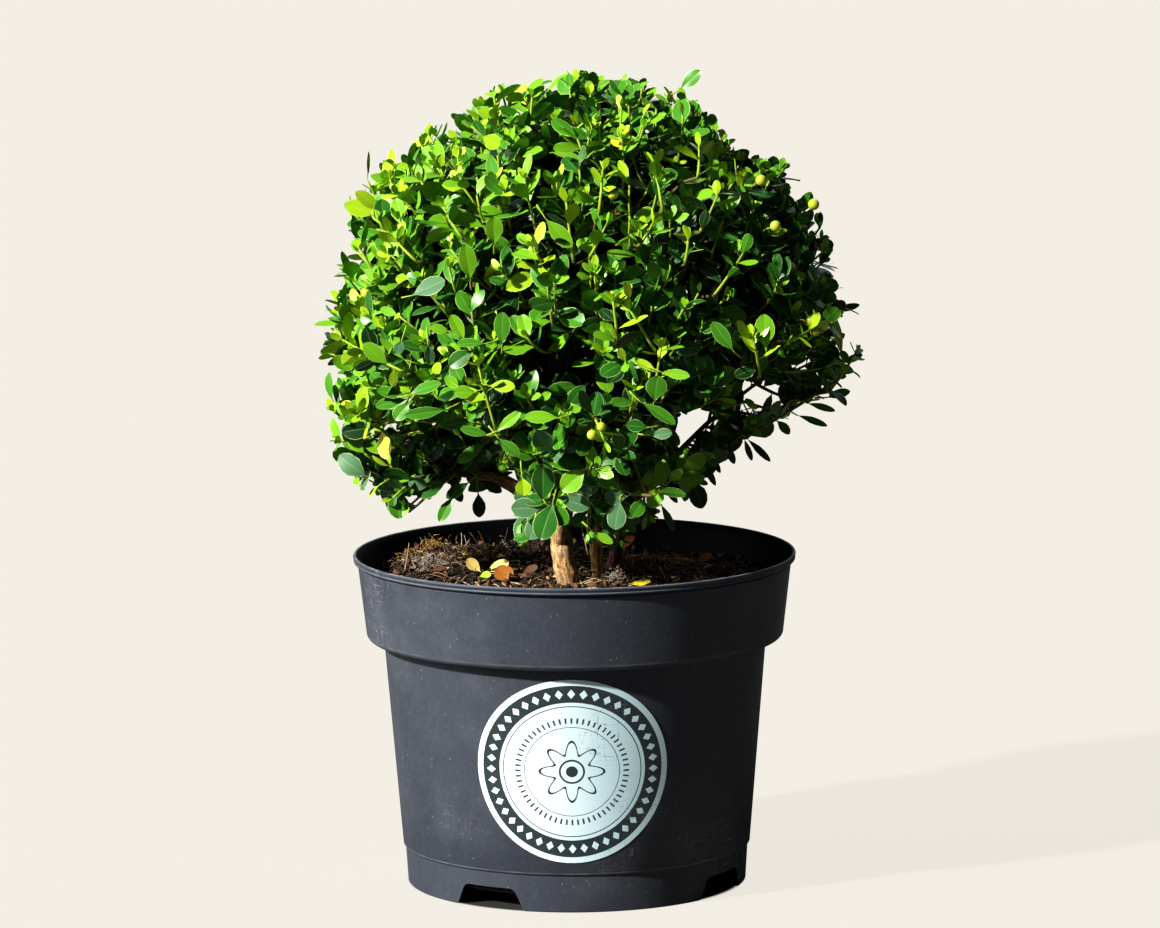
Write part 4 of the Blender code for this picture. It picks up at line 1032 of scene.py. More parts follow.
def leaf_template():
    """A leaf of one unit: a grid drawn to its outline, with its rib and margin as strips of their own."""
    columns, rows = len(LEAF_COLUMNS) - 1, len(LEAF_ROWS) - 1
    shape = bmesh.new()
    bmesh.ops.create_grid(shape, x_segments=rows, y_segments=columns, size=0.5)
    for face in shape.faces:
        middle = face.calc_center_median()
        column = int((middle.y + 0.5) * columns)
        face.material_index = {0: 2, columns - 1: 2, columns // 2: 1}.get(column, 0)
    for vert in shape.verts:
        along = LEAF_ROWS[round((vert.co.x + 0.5) * rows)]
        across = LEAF_COLUMNS[round((vert.co.y + 0.5) * columns)]
        vert.co = (along, across * leaf_outline(along), abs(across))
    return template_of(shape)


class Leaves:
    """Leaves gathered for one joined piece."""

    def __init__(self):
        self.rows = []

    def add(self, root, heading, normal, length, width, curl, fold):
        self.rows.append((*root, *heading, *normal, length, width, curl, fold))

    def clouds(self, verts):
        """Vertices of every leaf: (leaves, vertices, 3)."""
        data = np.array(self.rows)
        root, heading, normal = data[:, None, 0:3], data[:, None, 3:6], data[:, None, 6:9]
        length, width, curl, fold = (data[:, None, column] for column in range(9, 13))
        side = np.cross(normal, heading)
        along = verts[None, :, 0]
        across = verts[None, :, 1]
        off_rib = np.clip(verts[None, :, 2] - LEAF_RIB, 0.0, 1.0)
        half = width / 2
        dome = -0.13 * width * (across ** 2) + 0.03 * width * np.clip(off_rib * 6.0, 0.0, 1.0)
        lift = dome + fold * np.abs(across) * half - curl * length * along ** 2
        reach = length * (along - 0.25 * np.abs(curl) * along ** 2)
        return (
            root + heading * reach[..., None] + side * (across * half)[..., None] + normal * lift[..., None]
        )


# The limbs of the plant

def curve_point(start, control, end, share):
    """A point on a quadratic curve."""
    near = start.lerp(control, share)
    far = control.lerp(end, share)
    return near.lerp(far, share)


def bowed(start, end, bend, steps):
    """Points on a smooth curve from start to end that bows out by bend at its middle."""
    control = (start + end) / 2 + bend * 2.0
    return [curve_point(start, control, end, step / steps) for step in range(steps + 1)]


def bark_limb(name, points, root_radius, tip_radius, flare, finish, seed, sides=18, rough=0.13):
    """A limb with its bark's ridges and knots in the mesh, closed at both ends."""
    shape = bmesh.new()
    chart = shape.loops.layers.uv.new("along")
    last = len(points) - 1
    rings = []
    length = 0.0
    lengths = []
    for number, point in enumerate(points):
        if number:
            length += (point - points[number - 1]).length
        lengths.append(length)
    offset = Vector((seed * 1.7, seed * 0.9, 0.0))
    for number, point in enumerate(points):
        heading = (points[min(number + 1, last)] - points[max(number - 1, 0)]).normalized()
        if number == 0 and flare:
            heading = UP.copy()
        share = number / last
        radius = root_radius + (tip_radius - root_radius) * share
        radius += flare * math.exp(-lengths[number] / (7.0 * MM))
        place = Matrix.Translation(point) @ heading.to_track_quat("Z", "Y").to_matrix().to_4x4()
        made = bmesh.ops.create_circle(shape, cap_ends=False, segments=sides, radius=radius, matrix=place)
        for index, vert in enumerate(made["verts"]):
            out = vert.co - point
            turn = math.tau * index / sides
            around = Vector((math.cos(turn) * 1.6, math.sin(turn) * 1.6, lengths[number] / (9.0 * MM)))
            ridge = noise.noise(around + offset) + 0.6 * noise.noise(around * 2.3 + offset)
            knot = max(noise.noise(Vector((lengths[number] / (13.0 * MM), seed, turn * 0.4))), 0.0)
            vert.co = point + out * (1.0 + rough * ridge + 0.22 * knot)
        rings.append(made["verts"])
    for ring, (lower, upper) in enumerate(zip(rings, rings[1:])):
        for index in range(sides):
            other = (index + 1) % sides
            face = shape.faces.new((lower[index], lower[other], upper[other], upper[index]))
            spots = ((index, ring), (index + 1, ring), (index + 1, ring + 1), (index, ring + 1))
            for loop, (turn, step) in zip(face.loops, spots):
                loop[chart].uv = (turn / sides, lengths[step])
    for ring in (rings[0], rings[-1]):
        bmesh.ops.contextual_create(shape, geom=ring)
    bmesh.ops.recalc_face_normals(shape, faces=shape.faces)
    return mesh_of(name, shape, finish)


def make_limbs():
    """The stems and boughs, each on its own path; gives back the tips that the dome grows from."""
    tan_bark = bark_material("tan_bark", (0.82, 0.58, 0.28), (0.40, 0.225, 0.09), (0.04, 0.018, 0.008))
    gold_bark = bark_material("gold_bark", (0.95, 0.68, 0.24), (0.66, 0.37, 0.12), (0.16, 0.08, 0.03))
    red_bark = bark_material("red_bark", (0.36, 0.17, 0.08), (0.19, 0.085, 0.04), (0.06, 0.028, 0.015))
    foot = SOIL_HEIGHT / MM - 3.0
    limbs = (
        ("trunk", (-3.2, -8.0, foot), (-2.0, -4.0, 262.0), (-5.5, 1.0, 0.0), 7.5, 3.6, -2.8, tan_bark),
        ("stem_right", (16.0, 12.0, foot), (22.0, 9.5, 262.0), (-7.0, 0.0, 0.0), 3.7, 2.7, 1.0, gold_bark),
        ("stem_back", (22.0, 42.0, foot), (31.0, 44.0, 266.0), (3.0, 5.0, 0.0), 3.9, 2.5, 1.1, red_bark),
        ("bough_left", (-7.0, -8.0, 207.0), (-58.0, 1.0, 240.0), (-2.0, 0.0, 10.5), 5.4, 2.6, 0.0, tan_bark),
        ("bough_right", (12.5, 12.0, 209.0), (60.0, 12.0, 242.0), (0.0, 0.0, -1.0), 3.1, 1.8, 0.0, gold_bark),
        ("bough_back", (26.0, 49.0, 210.0), (24.0, 82.0, 230.0), (0.0, 0.0, -1.0), 2.9, 1.9, 0.0, red_bark),
        ("bough_front", (-8.0, -8.0, 201.0), (2.0, -52.0, 272.0), (-2.0, -8.0, 0.0), 3.2, 1.9, 0.0, tan_bark),
        ("bough_front_right", (16.0, 9.0, 199.0), (35.0, -38.0, 272.0), (3.0, -4.0, 0.0), 3.0, 1.8, 0.0, gold_bark),
        ("bough_left_high", (-8.0, -5.0, 222.0), (-50.0, 11.0, 292.0), (-4.0, 4.0, 0.0), 2.9, 1.8, 0.0, tan_bark),
        ("bough_back_left", (24.0, 46.0, 202.0), (-28.0, 58.0, 284.0), (-4.0, 4.0, 0.0), 2.8, 1.7, 0.0, red_bark),
    )
    tips = []
    for seed, (name, start, end, bend, root, tip, flare, finish) in enumerate(limbs):
        steps = int((mm(*end) - mm(*start)).length / (1.6 * MM))
        points = bowed(mm(*start), mm(*end), mm(*bend), steps)
        mesh = bark_limb(name + "_bark", points, root * MM, tip * MM, flare * MM, finish, seed + 1)
        finished(name + "_bark", mesh, "bark", name)
        tips.append((points[-1], tip * MM))
    return tips


# The dome

def crown_radius(height):
    """How far the clipped dome reaches from its axis at this height."""
    if height >= CROWN_TOP:
        return 0.0
    if height >= CROWN_WIDEST:
        share = (height - CROWN_WIDEST) / (CROWN_TOP - CROWN_WIDEST)
        return CROWN_RADIUS * math.sqrt(1.0 - share ** CROWN_ROUNDNESS)
    share = (CROWN_WIDEST - height) / (CROWN_WIDEST - CROWN_LOW)
    return CROWN_RADIUS * (1.0 - CROWN_TUCK * share ** 4)


def underside(x, y):
    """Lowest height of the clipped dome here: it rises to the left, the right and the back."""
    front = FRONT_LEFT_RISE * smoothstep((FRONT_START - y) / FRONT_RUN)
    left = (LEFT_RISE + front) * smoothstep((LEFT_START - x) / LEFT_RUN)
    right = RIGHT_RISE * smoothstep((x - RIGHT_START) / RIGHT_RUN)
    back = BACK_RISE * smoothstep((y - BACK_START) / BACK_RUN)
    return CROWN_LOW + max(left, right, back)


def off_axis(point):
    """Distance from the crown's upright axis."""
    return math.hypot(point.x - CROWN_X, point.y - CROWN_Y)


def swell(point):
    """How far the dome stands out of its even outline here, or is cut in where it is negative."""
    total = 0.0
    for middle, amount, breadth in SWELLS:
        off = point - mm(*middle)
        away = Vector((off.x, 0.35 * off.y, off.z)).length / (breadth * MM)
        total += amount * MM * math.exp(-away * away)
    return total


def over_outline(point):
    """How far the point lies out of the dome's outline from the side; negative inside."""
    height = min(point.z, CROWN_TOP - 0.1 * MM)
    return off_axis(point) - crown_radius(height) - swell(point)


def in_crown(point):
    """True inside the clipped dome."""
    below_top = point.z < CROWN_TOP
    return below_top and point.z > underside(point.x, point.y) and over_outline(point) < 0.0


def spray_floor(x):
    """Lowest height of the open sprays here: it climbs steeply on the right, then gently."""
    over = max(x - SPRAY_RIGHT_START, 0.0)
    return SPRAY_LOW + min(over * SPRAY_RIGHT_SLOPE, SPRAY_RIGHT_RISE + over * SPRAY_FAR_SLOPE)


def kept_open(point):
    """True in a gap that the photograph shows among the leaves."""
    across, down = pixel_of(point)
    for left, top, right, bottom, depth in GAPS:
        if left < across < right and top < down < bottom and point.y < depth * MM:
            return True
    return False


def under_crown(point):
    """True in the space of the open sprays below the dome's raised underside."""
    high = underside(point.x, point.y) + 10.0 * MM
    in_front = point.x < 0.0 and point.y < SPRAY_LEFT_FRONT
    inside = spray_floor(point.x) < point.z < high and over_outline(point) < 0.0
    return inside and not in_front


def ray_reach(heading):
    """How far from the crown's middle the dome goes on along this heading."""
    reach = 0.0
    step = 1.0 * MM
    while in_crown(CROWN_MIDDLE + heading * (reach + step)):
        reach += step
    return reach


def dome_heading(number, count, rng, jitter):
    """The number-th of count headings that lie evenly over the dome, its underside too."""
    lowest = math.cos(math.radians(DOME_LOW_ANGLE))
    up = 1.0 - (number + 0.5) / count * (1.0 - lowest)
    turn = GOLDEN_ANGLE * number
    out = math.sqrt(1.0 - up * up)
    shift = Vector((rng.gauss(0.0, jitter), rng.gauss(0.0, jitter), rng.gauss(0.0, jitter)))
    return (Vector((out * math.cos(turn), out * math.sin(turn), up)) + shift).normalized()


TINTS = {
    "young": ((0.31, 0.50, 0.012), 0.42),
    "bright": ((0.150, 0.37, 0.013), 0.36),
    "mid": ((0.055, 0.215, 0.014), 0.34),
    "deep": ((0.022, 0.118, 0.013), 0.34),
    # The near-black old green is old growth and also painted shade inside the crown.
    "old": ((0.007, 0.042, 0.009), 0.40),
    # This blue-grey green paints the sky's sheen on leaves low at the front.
    "dust_and_sheen": ((0.070, 0.175, 0.078), 0.48),
    "yellow": ((0.62, 0.50, 0.02), 0.45),
}

# The green one step older than each, how much wider a leaf is, and how many of a growing tip's are lime
OLDER = {"young": "bright", "bright": "mid", "mid": "deep"}
WIDER = {"young": -0.07, "dust_and_sheen": 0.10}
YOUNG_SHARE = {"young": 0.9, "bright": 0.6, "mid": 0.35, "deep": 0.15, "dust_and_sheen": 0.2}


class Plant:
    """Gathers the twigs, leaves and berries of the crown as they grow."""

    def __init__(self, seed):
        self.rng = random.Random(seed)
        self.leaves = {tint: Leaves() for tint in TINTS}
        self.green_twigs = []
        self.brown_twigs = []
        self.shoot_tips = []

    def allowed(self, point, over=0.0):
        """True inside the CAD box, or no further out of it than the given length."""
        return all(CAD_BOX[0][axis] - over < point[axis] < CAD_BOX[1][axis] + over for axis in range(3))

    def leaf(self, root, heading, toward, length, tint, clip=None):
        """A leaf whose upper face looks toward the given way, unless its place is to stay free."""
        heading = heading.normalized()
        normal = toward - heading * toward.dot(heading)
        if normal.length < 0.05:
            normal = heading.orthogonal()
        normal.normalize()
        normal = Matrix.Rotation(self.rng.gauss(0.0, 0.42), 3, heading) @ normal
        tip = root + heading * length
        if not self.allowed(tip) or (clip and not clip(tip)) or kept_open(tip) or kept_open(root.lerp(tip, 0.5)):
            return False
        width = length * (self.rng.uniform(0.43, 0.56) + WIDER.get(tint, 0.0))
        curl = self.rng.gauss(0.10, 0.14)
        fold = self.rng.uniform(0.05, 0.50)
        self.leaves[tint].add(root, heading, normal, length, width, curl, fold)
        return True

    def shoot(self, start, control, end, tint, bare, clip=None, size=1.0, growing=True):
        """A leafy shoot: full-grown leaves in a spiral along it, and small young ones at a growing tip."""
        rng = self.rng
        run = (control - start).length + (end - control).length
        count = max(int(run * (1.0 - bare) / LEAF_SPACING), 3)
        spin = rng.uniform(0.0, math.tau)
        last = 0.0
        tip_leaves = rng.randint(4, 7) if growing else 1
        through_gap = sum(kept_open(curve_point(start, control, end, 0.3 + 0.14 * step)) for step in range(6))
        if clip and through_gap > 2:
            return
        for number in range(count + tip_leaves):
            at_tip = number >= count
            share = min(number / count, 1.0) if not at_tip else 1.0
            reach = share ** 0.75 if not at_tip else 0.94 + 0.06 * (number - count + 1) / tip_leaves
            along = bare + (1.0 - bare) * reach
            root = curve_point(start, control, end, along)
            axis = ((control - start) * (1.0 - along) + (end - control) * along).normalized()
            across = axis.orthogonal().normalized()
            outward = Matrix.Rotation(spin + GOLDEN_ANGLE * number, 3, axis) @ across
            if at_tip and growing:
                youth = (number - count + 1) / tip_leaves
                opening = math.radians(58.0 - 44.0 * youth + rng.gauss(0.0, 9.0))
                length = LEAF_LENGTH * size * (0.62 - 0.34 * youth) * rng.uniform(0.8, 1.15)
                leaf_tint = "young" if rng.random() < YOUNG_SHARE[tint] else "bright"
            else:
                opening = math.radians(70.0 - 34.0 * share ** 1.5 + rng.gauss(0.0, 10.0))
                length = LEAF_LENGTH * size * rng.uniform(0.58, 1.16) * (1.0 - 0.22 * share ** 3)
                leaf_tint = self.grown_tint(tint, share)
            heading = axis * math.cos(opening) + outward * math.sin(opening) + UP * 0.10
            if self.leaf(root, heading, axis + UP * 0.15, length, leaf_tint, clip):
                last = max(last, along)
        if last == 0.0:
            return
        near, tip = start.lerp(control, last), curve_point(start, control, end, last)
        self.green_twigs.append((start.lerp(near, bare), near, tip, 1.0 * MM, 0.65 * MM))
        if bare > 0.1:
            half_way = curve_point(start, near, tip, 0.55)
            self.brown_twigs.append((start, start.lerp(near, 0.6), half_way, 1.05 * MM, 0.85 * MM))
        self.shoot_tips.append(tip)

    def grown_tint(self, tint, share):
        """The green of a full-grown leaf: older towards the shoot's foot, where the near-black old green also paints
        the crown's inner shade; now and then yellow.
        """
        chance = self.rng.random()
        if chance < 0.0025:
            return "yellow"
        if share < 0.35 and chance < 0.45:
            return "old" if tint != "dust_and_sheen" else "dust_and_sheen"
        if tint in OLDER and chance < 0.62 - 0.40 * share:
            return OLDER[tint]
        return tint


def shoot_tint(point, rng):
    """Which green a shoot has here: young lime and light greens toward the upper left and darker greens to the right,
    as painted light and shade; at the front's foot some take the blue-grey green of painted sky sheen.
    """
    # The score rises toward the upper left, where the key light falls: painted light.
    light = 0.50 * (point.z - 0.34) / 0.14 - 0.50 * (point.x - CROWN_X) / CROWN_RADIUS + rng.gauss(0.0, 0.36)
    if point.z < 0.275 and rng.random() < 0.30:
        return "dust_and_sheen"
    # Painted shade: shoots on the right side are pushed toward darker greens.
    light -= 0.7 * smoothstep((point.x - 0.085) / 0.04)
    if light > 0.84:
        return "young"
    if light > 0.22:
        return "bright"
    if light > -0.34:
        return "mid"
    return "deep"


def near_outline(point):
    """True unless the point stands out of the dome's clipped outline."""
    over = 3.5 * MM + 3.0 * MM * smoothstep((point.z - 400.0 * MM) / (40.0 * MM))
    inside = over_outline(point) < over and point.z > underside(point.x, point.y) - 3.0 * MM
    return inside


def grow_dome(plant, limb_tips):
    """Boughs that go on from the limbs, branches from them, and leafy shoots from those."""
    rng = plant.rng
    curves = []
    boughs = []
    for number in range(INNER_BOUGH_COUNT):
        heading = dome_heading(number, INNER_BOUGH_COUNT, rng, 0.05)
        end = CROWN_MIDDLE + heading * ray_reach(heading) * 0.42
        start, radius = min(limb_tips, key=lambda tip: (tip[0] - end).length + 0.3 * abs(tip[0].z - end.z))
        control = (start + end) / 2 + Vector((rng.gauss(0.0, 4.0), rng.gauss(0.0, 4.0), -6.0)) * MM
        curves.append((start, control, end, radius * 0.75, 1.3 * MM))
        boughs.append(end)
    branches = []
    for number in range(BRANCH_COUNT):
        heading = dome_heading(number, BRANCH_COUNT, rng, 0.04)
        end = CROWN_MIDDLE + heading * ray_reach(heading) * 0.68
        start = min(boughs, key=lambda bough: (bough - end).length)
        control = (start + end) / 2 + Vector((rng.gauss(0.0, 4.0), rng.gauss(0.0, 4.0), -4.0)) * MM
        curves.append((start, control, end, 1.25 * MM, 0.95 * MM))
        branches.append(end)
        for _ in range(9):
            root = curve_point(start, control, end, rng.uniform(0.35, 1.0))
            out = Vector((rng.gauss(0.0, 1.0), rng.gauss(0.0, 1.0), rng.gauss(0.0, 1.0))).normalized()
            aim = (heading * 0.5 + out).normalized()
            # Old leaves inside the crown: old growth whose near-black green also paints the crown's inner shade.
            plant.leaf(root + aim * 2.0 * MM, aim, heading, LEAF_LENGTH * rng.uniform(1.0, 1.25), "old")
    plant.brown_twigs.extend(curves)
    for number in range(DOME_TWIGS):
        heading = dome_heading(number, DOME_TWIGS, rng, 0.035)
        reach = ray_reach(heading)
        surface = CROWN_MIDDLE + heading * reach
        gap = noise.noise(surface * 33.0)
        if gap > 0.17 and rng.random() < 0.8:
            continue
        hollow = max(gap - 0.02, 0.0) * 115.0 * MM
        inset = LEAF_LENGTH * rng.uniform(0.0, 0.62) * (1.0 - 0.7 * max(heading.z, 0.0)) + hollow
        end = CROWN_MIDDLE + heading * (reach - min(inset, 0.35 * reach))
        lift = rng.uniform(0.3, 1.4) * smoothstep(0.9 + heading.z)
        sway = Vector((rng.gauss(0.0, 1.0), rng.gauss(0.0, 1.0), rng.gauss(0.0, 1.0))) * 0.22
        growth = (heading * 0.8 + UP * lift + sway).normalized()
        run = rng.uniform(30.0, 52.0) * MM
        foot = end - growth * run
        start = min(branches, key=lambda branch: (branch - foot).length)
        control = end - growth * run * 0.62
        growing = rng.random() < 0.8
        plant.shoot(start, control, end, shoot_tint(end, rng), 0.22, near_outline, 1.0, growing)
    return branches


def grow_missed_shoots(plant, branches):
    """The few shoots that the shears missed, which reach furthest out of the dome."""
    for tip in SPRIG_TIPS:
        heading = (tip - CROWN_MIDDLE).normalized()
        end = tip - heading * LEAF_LENGTH * 0.86
        start = min(branches, key=lambda branch: (branch - end).length)
        control = start.lerp(end, 0.6)
        plant.shoot(start, control, end, "mid", 0.55)
        plant.leaf(end, tip - end, UP, LEAF_LENGTH * 0.84, "bright")
    foot_x, foot_y, tip_x, tip_y, depth = DRY_SPRIG
    foot, tip = seen_at(foot_x, foot_y, depth), seen_at(tip_x, tip_y, depth)
    normal = Vector((0.94, -0.34, 0.0))
    plant.leaves["old"].add(foot, (tip - foot).normalized(), normal, (tip - foot).length, 5.0 * MM, 0.10, 0.2)
    stalk = seen_at(foot_x + 12, foot_y + 26, depth)
    plant.green_twigs.append((stalk, stalk.lerp(foot, 0.6), foot, 0.7 * MM, 0.5 * MM))


def on_dome(across, down):
    """The point of the dome's face that the photograph shows at this pixel, or one beside the dome."""
    depth = -160.0
    while depth < 60.0 and not in_crown(seen_at(across, down, depth)):
        depth += 1.0
    return seen_at(across, down, depth if depth < 60.0 else BESIDE_DOME)


def grow_face(plant, branches):
    """The shoots and single leaves that the photograph shows by themselves."""
    for foot_x, foot_y, tip_x, tip_y, tint in FACE_SHOOTS:
        tip = on_dome(tip_x, tip_y)
        out = Vector((tip.x - CROWN_X, tip.y - CROWN_Y, 0.0)).normalized()
        tip += out * FACE_OUT * MM
        foot = on_dome(foot_x, foot_y) - out * 2.0 * MM
        if not plant.allowed(tip):
            continue
        back = foot - (tip - foot).normalized() * 5.0 * MM - out * 12.0 * MM + mm(0.0, 10.0, 0.0)
        start = min(branches, key=lambda branch: (branch - back).length)
        plant.brown_twigs.append((start, start.lerp(back, 0.5), back, 1.1 * MM, 1.0 * MM))
        plant.brown_twigs.append((back, back.lerp(foot, 0.6), foot, 1.0 * MM, 0.95 * MM))
        plant.shoot(foot, foot.lerp(tip, 0.5) + out * 1.5 * MM, tip, tint, 0.04, None, 0.88, True)
    for root_x, root_y, tip_x, tip_y, depth, width, tint in SINGLE_LEAVES:
        if depth is None:
            depth = on_dome((root_x + tip_x) / 2, (root_y + tip_y) / 2).y / MM - 9.0
        root, tip = seen_at(root_x, root_y, depth), seen_at(tip_x, tip_y, depth - 3.0)
        heading = (tip - root).normalized()
        toward = Vector((0.0, -0.85, 0.50))
        normal = (toward - heading * toward.dot(heading)).normalized()
        normal = Matrix.Rotation(plant.rng.gauss(0.0, 0.25), 3, heading) @ normal
        length = (tip - root).length
        if plant.allowed(tip, 3.5 * MM):
            curl, fold = plant.rng.uniform(0.04, 0.16), plant.rng.uniform(0.20, 0.50)
            plant.leaves[tint].add(root, heading, normal, length, length * width, curl, fold)
            stalk = root - heading * 7.0 * MM + mm(0.0, 3.0, 2.0)
            plant.green_twigs.append((stalk, root.lerp(stalk, 0.4), root + heading * MM, 0.6 * MM, 0.4 * MM))


def grow_sprays(plant, limb_tips):
    """The open sprays under the raised edges of the dome."""
    rng = plant.rng
    stems = (
        (mm(-28.0, 3.0, 233.0), mm(-44.0, 2.0, 236.0), mm(-58.0, 1.0, 240.0), 26, 232.0),
        (mm(-58.0, 1.0, 240.0), mm(-90.0, 0.0, 246.0), mm(-122.0, -2.0, 242.0), 46, 230.0),
        (mm(34.0, 12.0, 224.0), mm(47.0, 12.0, 232.0), mm(60.0, 12.0, 242.0), 12, 217.0),
        (mm(60.0, 12.0, 242.0), mm(100.0, 8.0, 257.0), mm(158.0, 4.0, 297.0), 40, 217.0),
        (mm(52.0, 14.0, 240.0), mm(82.0, 16.0, 276.0), mm(120.0, 12.0, 300.0), 30, 250.0),
        (mm(24.0, 82.0, 230.0), mm(23.0, 108.0, 235.0), mm(22.0, 134.0, 236.0), 36, 217.0),
    )
    for start, control, end, count, low in stems:
        plant.brown_twigs.append((start, control, end, 1.9 * MM, 0.9 * MM))
        for number in range(count):
            along = (number + 1.0) / count
            root = curve_point(start, control, end, along)
            axis = ((control - start) * (1.0 - along) + (end - control) * along).normalized()
            outward = Matrix.Rotation(GOLDEN_ANGLE * number, 3, axis) @ axis.cross(UP).normalized()
            heading = (axis * 0.7 + outward).normalized()
            length = rng.uniform(20.0, 46.0) * MM
            least = low * MM if rng.random() < 0.85 else SPRAY_LOW
            while length > 8.0 * MM and not under_crown(root + heading * length):
                length -= 3.0 * MM
            tip = root + heading * length
            if length < 8.0 * MM or tip.z < least:
                continue
            bend = (root + tip) / 2 + UP * rng.uniform(-4.0, 1.0) * MM
            tint = "dust_and_sheen" if rng.random() < 0.3 else shoot_tint(tip, rng)
            plant.shoot(root, bend, tip, tint, 0.12, under_crown)


def grow_low_shoots(plant):
    """Stalks to the large leaves at the front's foot, three low leafy shoots, and a thin green stalk that hangs before
    the stems.
    """
    inside = mm(0.0, -76.0, 268.0)
    for across, down, depth in ((549, 503, -127.0), (588, 470, -129.0), (622, 496, -121.0), (646, 494, -119.0)):
        middle = seen_at(across, down, depth)
        start = Vector((0.7 * middle.x, middle.y + 32.0 * MM, middle.z + 24.0 * MM))
        plant.brown_twigs.append((inside, inside.lerp(start, 0.6) - UP * MM, start, 1.3 * MM, 1.1 * MM))
        plant.green_twigs.append((start, start.lerp(middle, 0.6) + UP * 4.0 * MM, middle, 1.1 * MM, 0.9 * MM))
    for start, control, end, tint, size in (
        (mm(-4.0, -34.0, 252.0), mm(-14.0, -52.0, 240.0), mm(-19.0, -66.0, 229.0), "mid", 1.1),
        (mm(22.0, -30.0, 252.0), mm(28.0, -46.0, 242.0), mm(31.0, -60.0, 231.0), "dust_and_sheen", 1.0),
        (mm(10.0, -20.0, 244.0), mm(12.0, -34.0, 236.0), mm(14.0, -44.0, 226.0), "deep", 0.9),
    ):
        plant.shoot(start, control, end, tint, 0.35, None, size, False)
    plant.green_twigs.append((mm(13.0, -46.0, 230.0), mm(12.0, -44.0, 222.0), mm(13.0, -41.0, 213.0), 0.6 * MM, 0.45 * MM))


def grow_berries(plant):
    """Unripe berries, singly or in pairs, on short stalks beside the shoots' tips."""
    rng = plant.rng
    homes = ((13.0, -100.0, 288.0), (-80.0, 90.0, 340.0), (60.0, 110.0, 380.0), (-110.0, -50.0, 350.0), (20.0, 120.0, 300.0))
    curves = []
    places = []
    for across, down in BERRIES:
        skin = on_dome(across, down)
        out = (skin - CROWN_MIDDLE).normalized()
        places.append(skin + out * 5.0 * MM)
        curves.append((skin - out * 6.0 * MM, skin - out * 2.0 * MM + UP * 1.5 * MM, skin + out * 2.0 * MM, 0.45 * MM, 0.4 * MM))
    for home in homes:
        aim = mm(*home)
        tip = min(plant.shoot_tips, key=lambda shoot: (shoot - aim).length)
        out = (tip - CROWN_MIDDLE).normalized()
        for _ in range(2 if rng.random() < 0.45 else 1):
            across = Matrix.Rotation(rng.uniform(0.0, math.tau), 3, out) @ out.orthogonal().normalized()
            middle = tip + across * rng.uniform(4.0, 5.5) * MM + out * rng.uniform(0.0, 3.0) * MM
            curves.append((tip - out * 4.0 * MM, tip + across * 2.0 * MM, middle, 0.45 * MM, 0.4 * MM))
            places.append(middle)
    ball = bmesh.new()
    bmesh.ops.create_icosphere(ball, subdivisions=3, radius=1.0)
    verts, faces, slots = template_of(ball)
    rotations = [random_turn(rng, 3.0) for _ in places]
    scales = [[BERRY_RADIUS * rng.uniform(0.8, 1.05)] * 3 for _ in places]
    skin = plain_material("berry_skin", (0.46, 0.54, 0.04), 0.26, 0.3)
    cloud = turned_copies(verts, places, rotations, scales)
    finished("berries", joined_copies("berries", faces, slots, cloud, skin), "leaf_green", "crown")
    stalk = plain_material("berry_stalk", (0.25, 0.33, 0.07), 0.5)
    finished("berry_stalks", joined_tubes("berry_stalks", curves, 5, 4, stalk), "leaf_green")


def dress_plant(plant):
    """Turns what has grown into joined pieces, each kind and tint apart."""
    verts, faces, slots = leaf_template()
    for tint, (colour, roughness) in TINTS.items():
        rows = plant.leaves[tint]
        if not rows.rows:
            continue
        blade = plain_material(f"leaf_{tint}", colour, roughness, 0.0, LEAF_SHINE)
        rib_colour = tuple(0.8 * part + 0.2 * pale for part, pale in zip(colour, (0.42, 0.52, 0.16)))
        rib = plain_material(f"leaf_{tint}_rib", rib_colour, roughness + 0.1, 0.0, LEAF_SHINE)
        edge_colour = tuple(0.5 * part + 0.5 * pale for part, pale in zip(colour, (0.60, 0.72, 0.24)))
        edge = plain_material(f"leaf_{tint}_edge", edge_colour, roughness + 0.05, 0.0, LEAF_SHINE)
        cloud = rows.clouds(verts)
        most = 190000 // (2 * len(faces))
        for part, first in enumerate(range(0, len(cloud), most)):
            name = f"leaves_{tint}_{part + 1}"
            mesh = joined_copies(name, faces, slots, cloud[first:first + most], blade, rib, edge)
            finished(name, mesh, "leaf_green", "crown", "spray_left", "spray_right", "spray_back")
    green = plain_material("twig_green", (0.27, 0.37, 0.03), 0.55, 0.0, 0.2)
    brown = plain_material("twig_brown", (0.12, 0.10, 0.035), 0.8, 0.0, 0.3)
    finished("green_twigs", joined_tubes("green_twigs", plant.green_twigs, 5, 5, green), "leaf_green")
    finished("brown_twigs", joined_tubes("brown_twigs", plant.brown_twigs, 6, 6, brown), "bark")


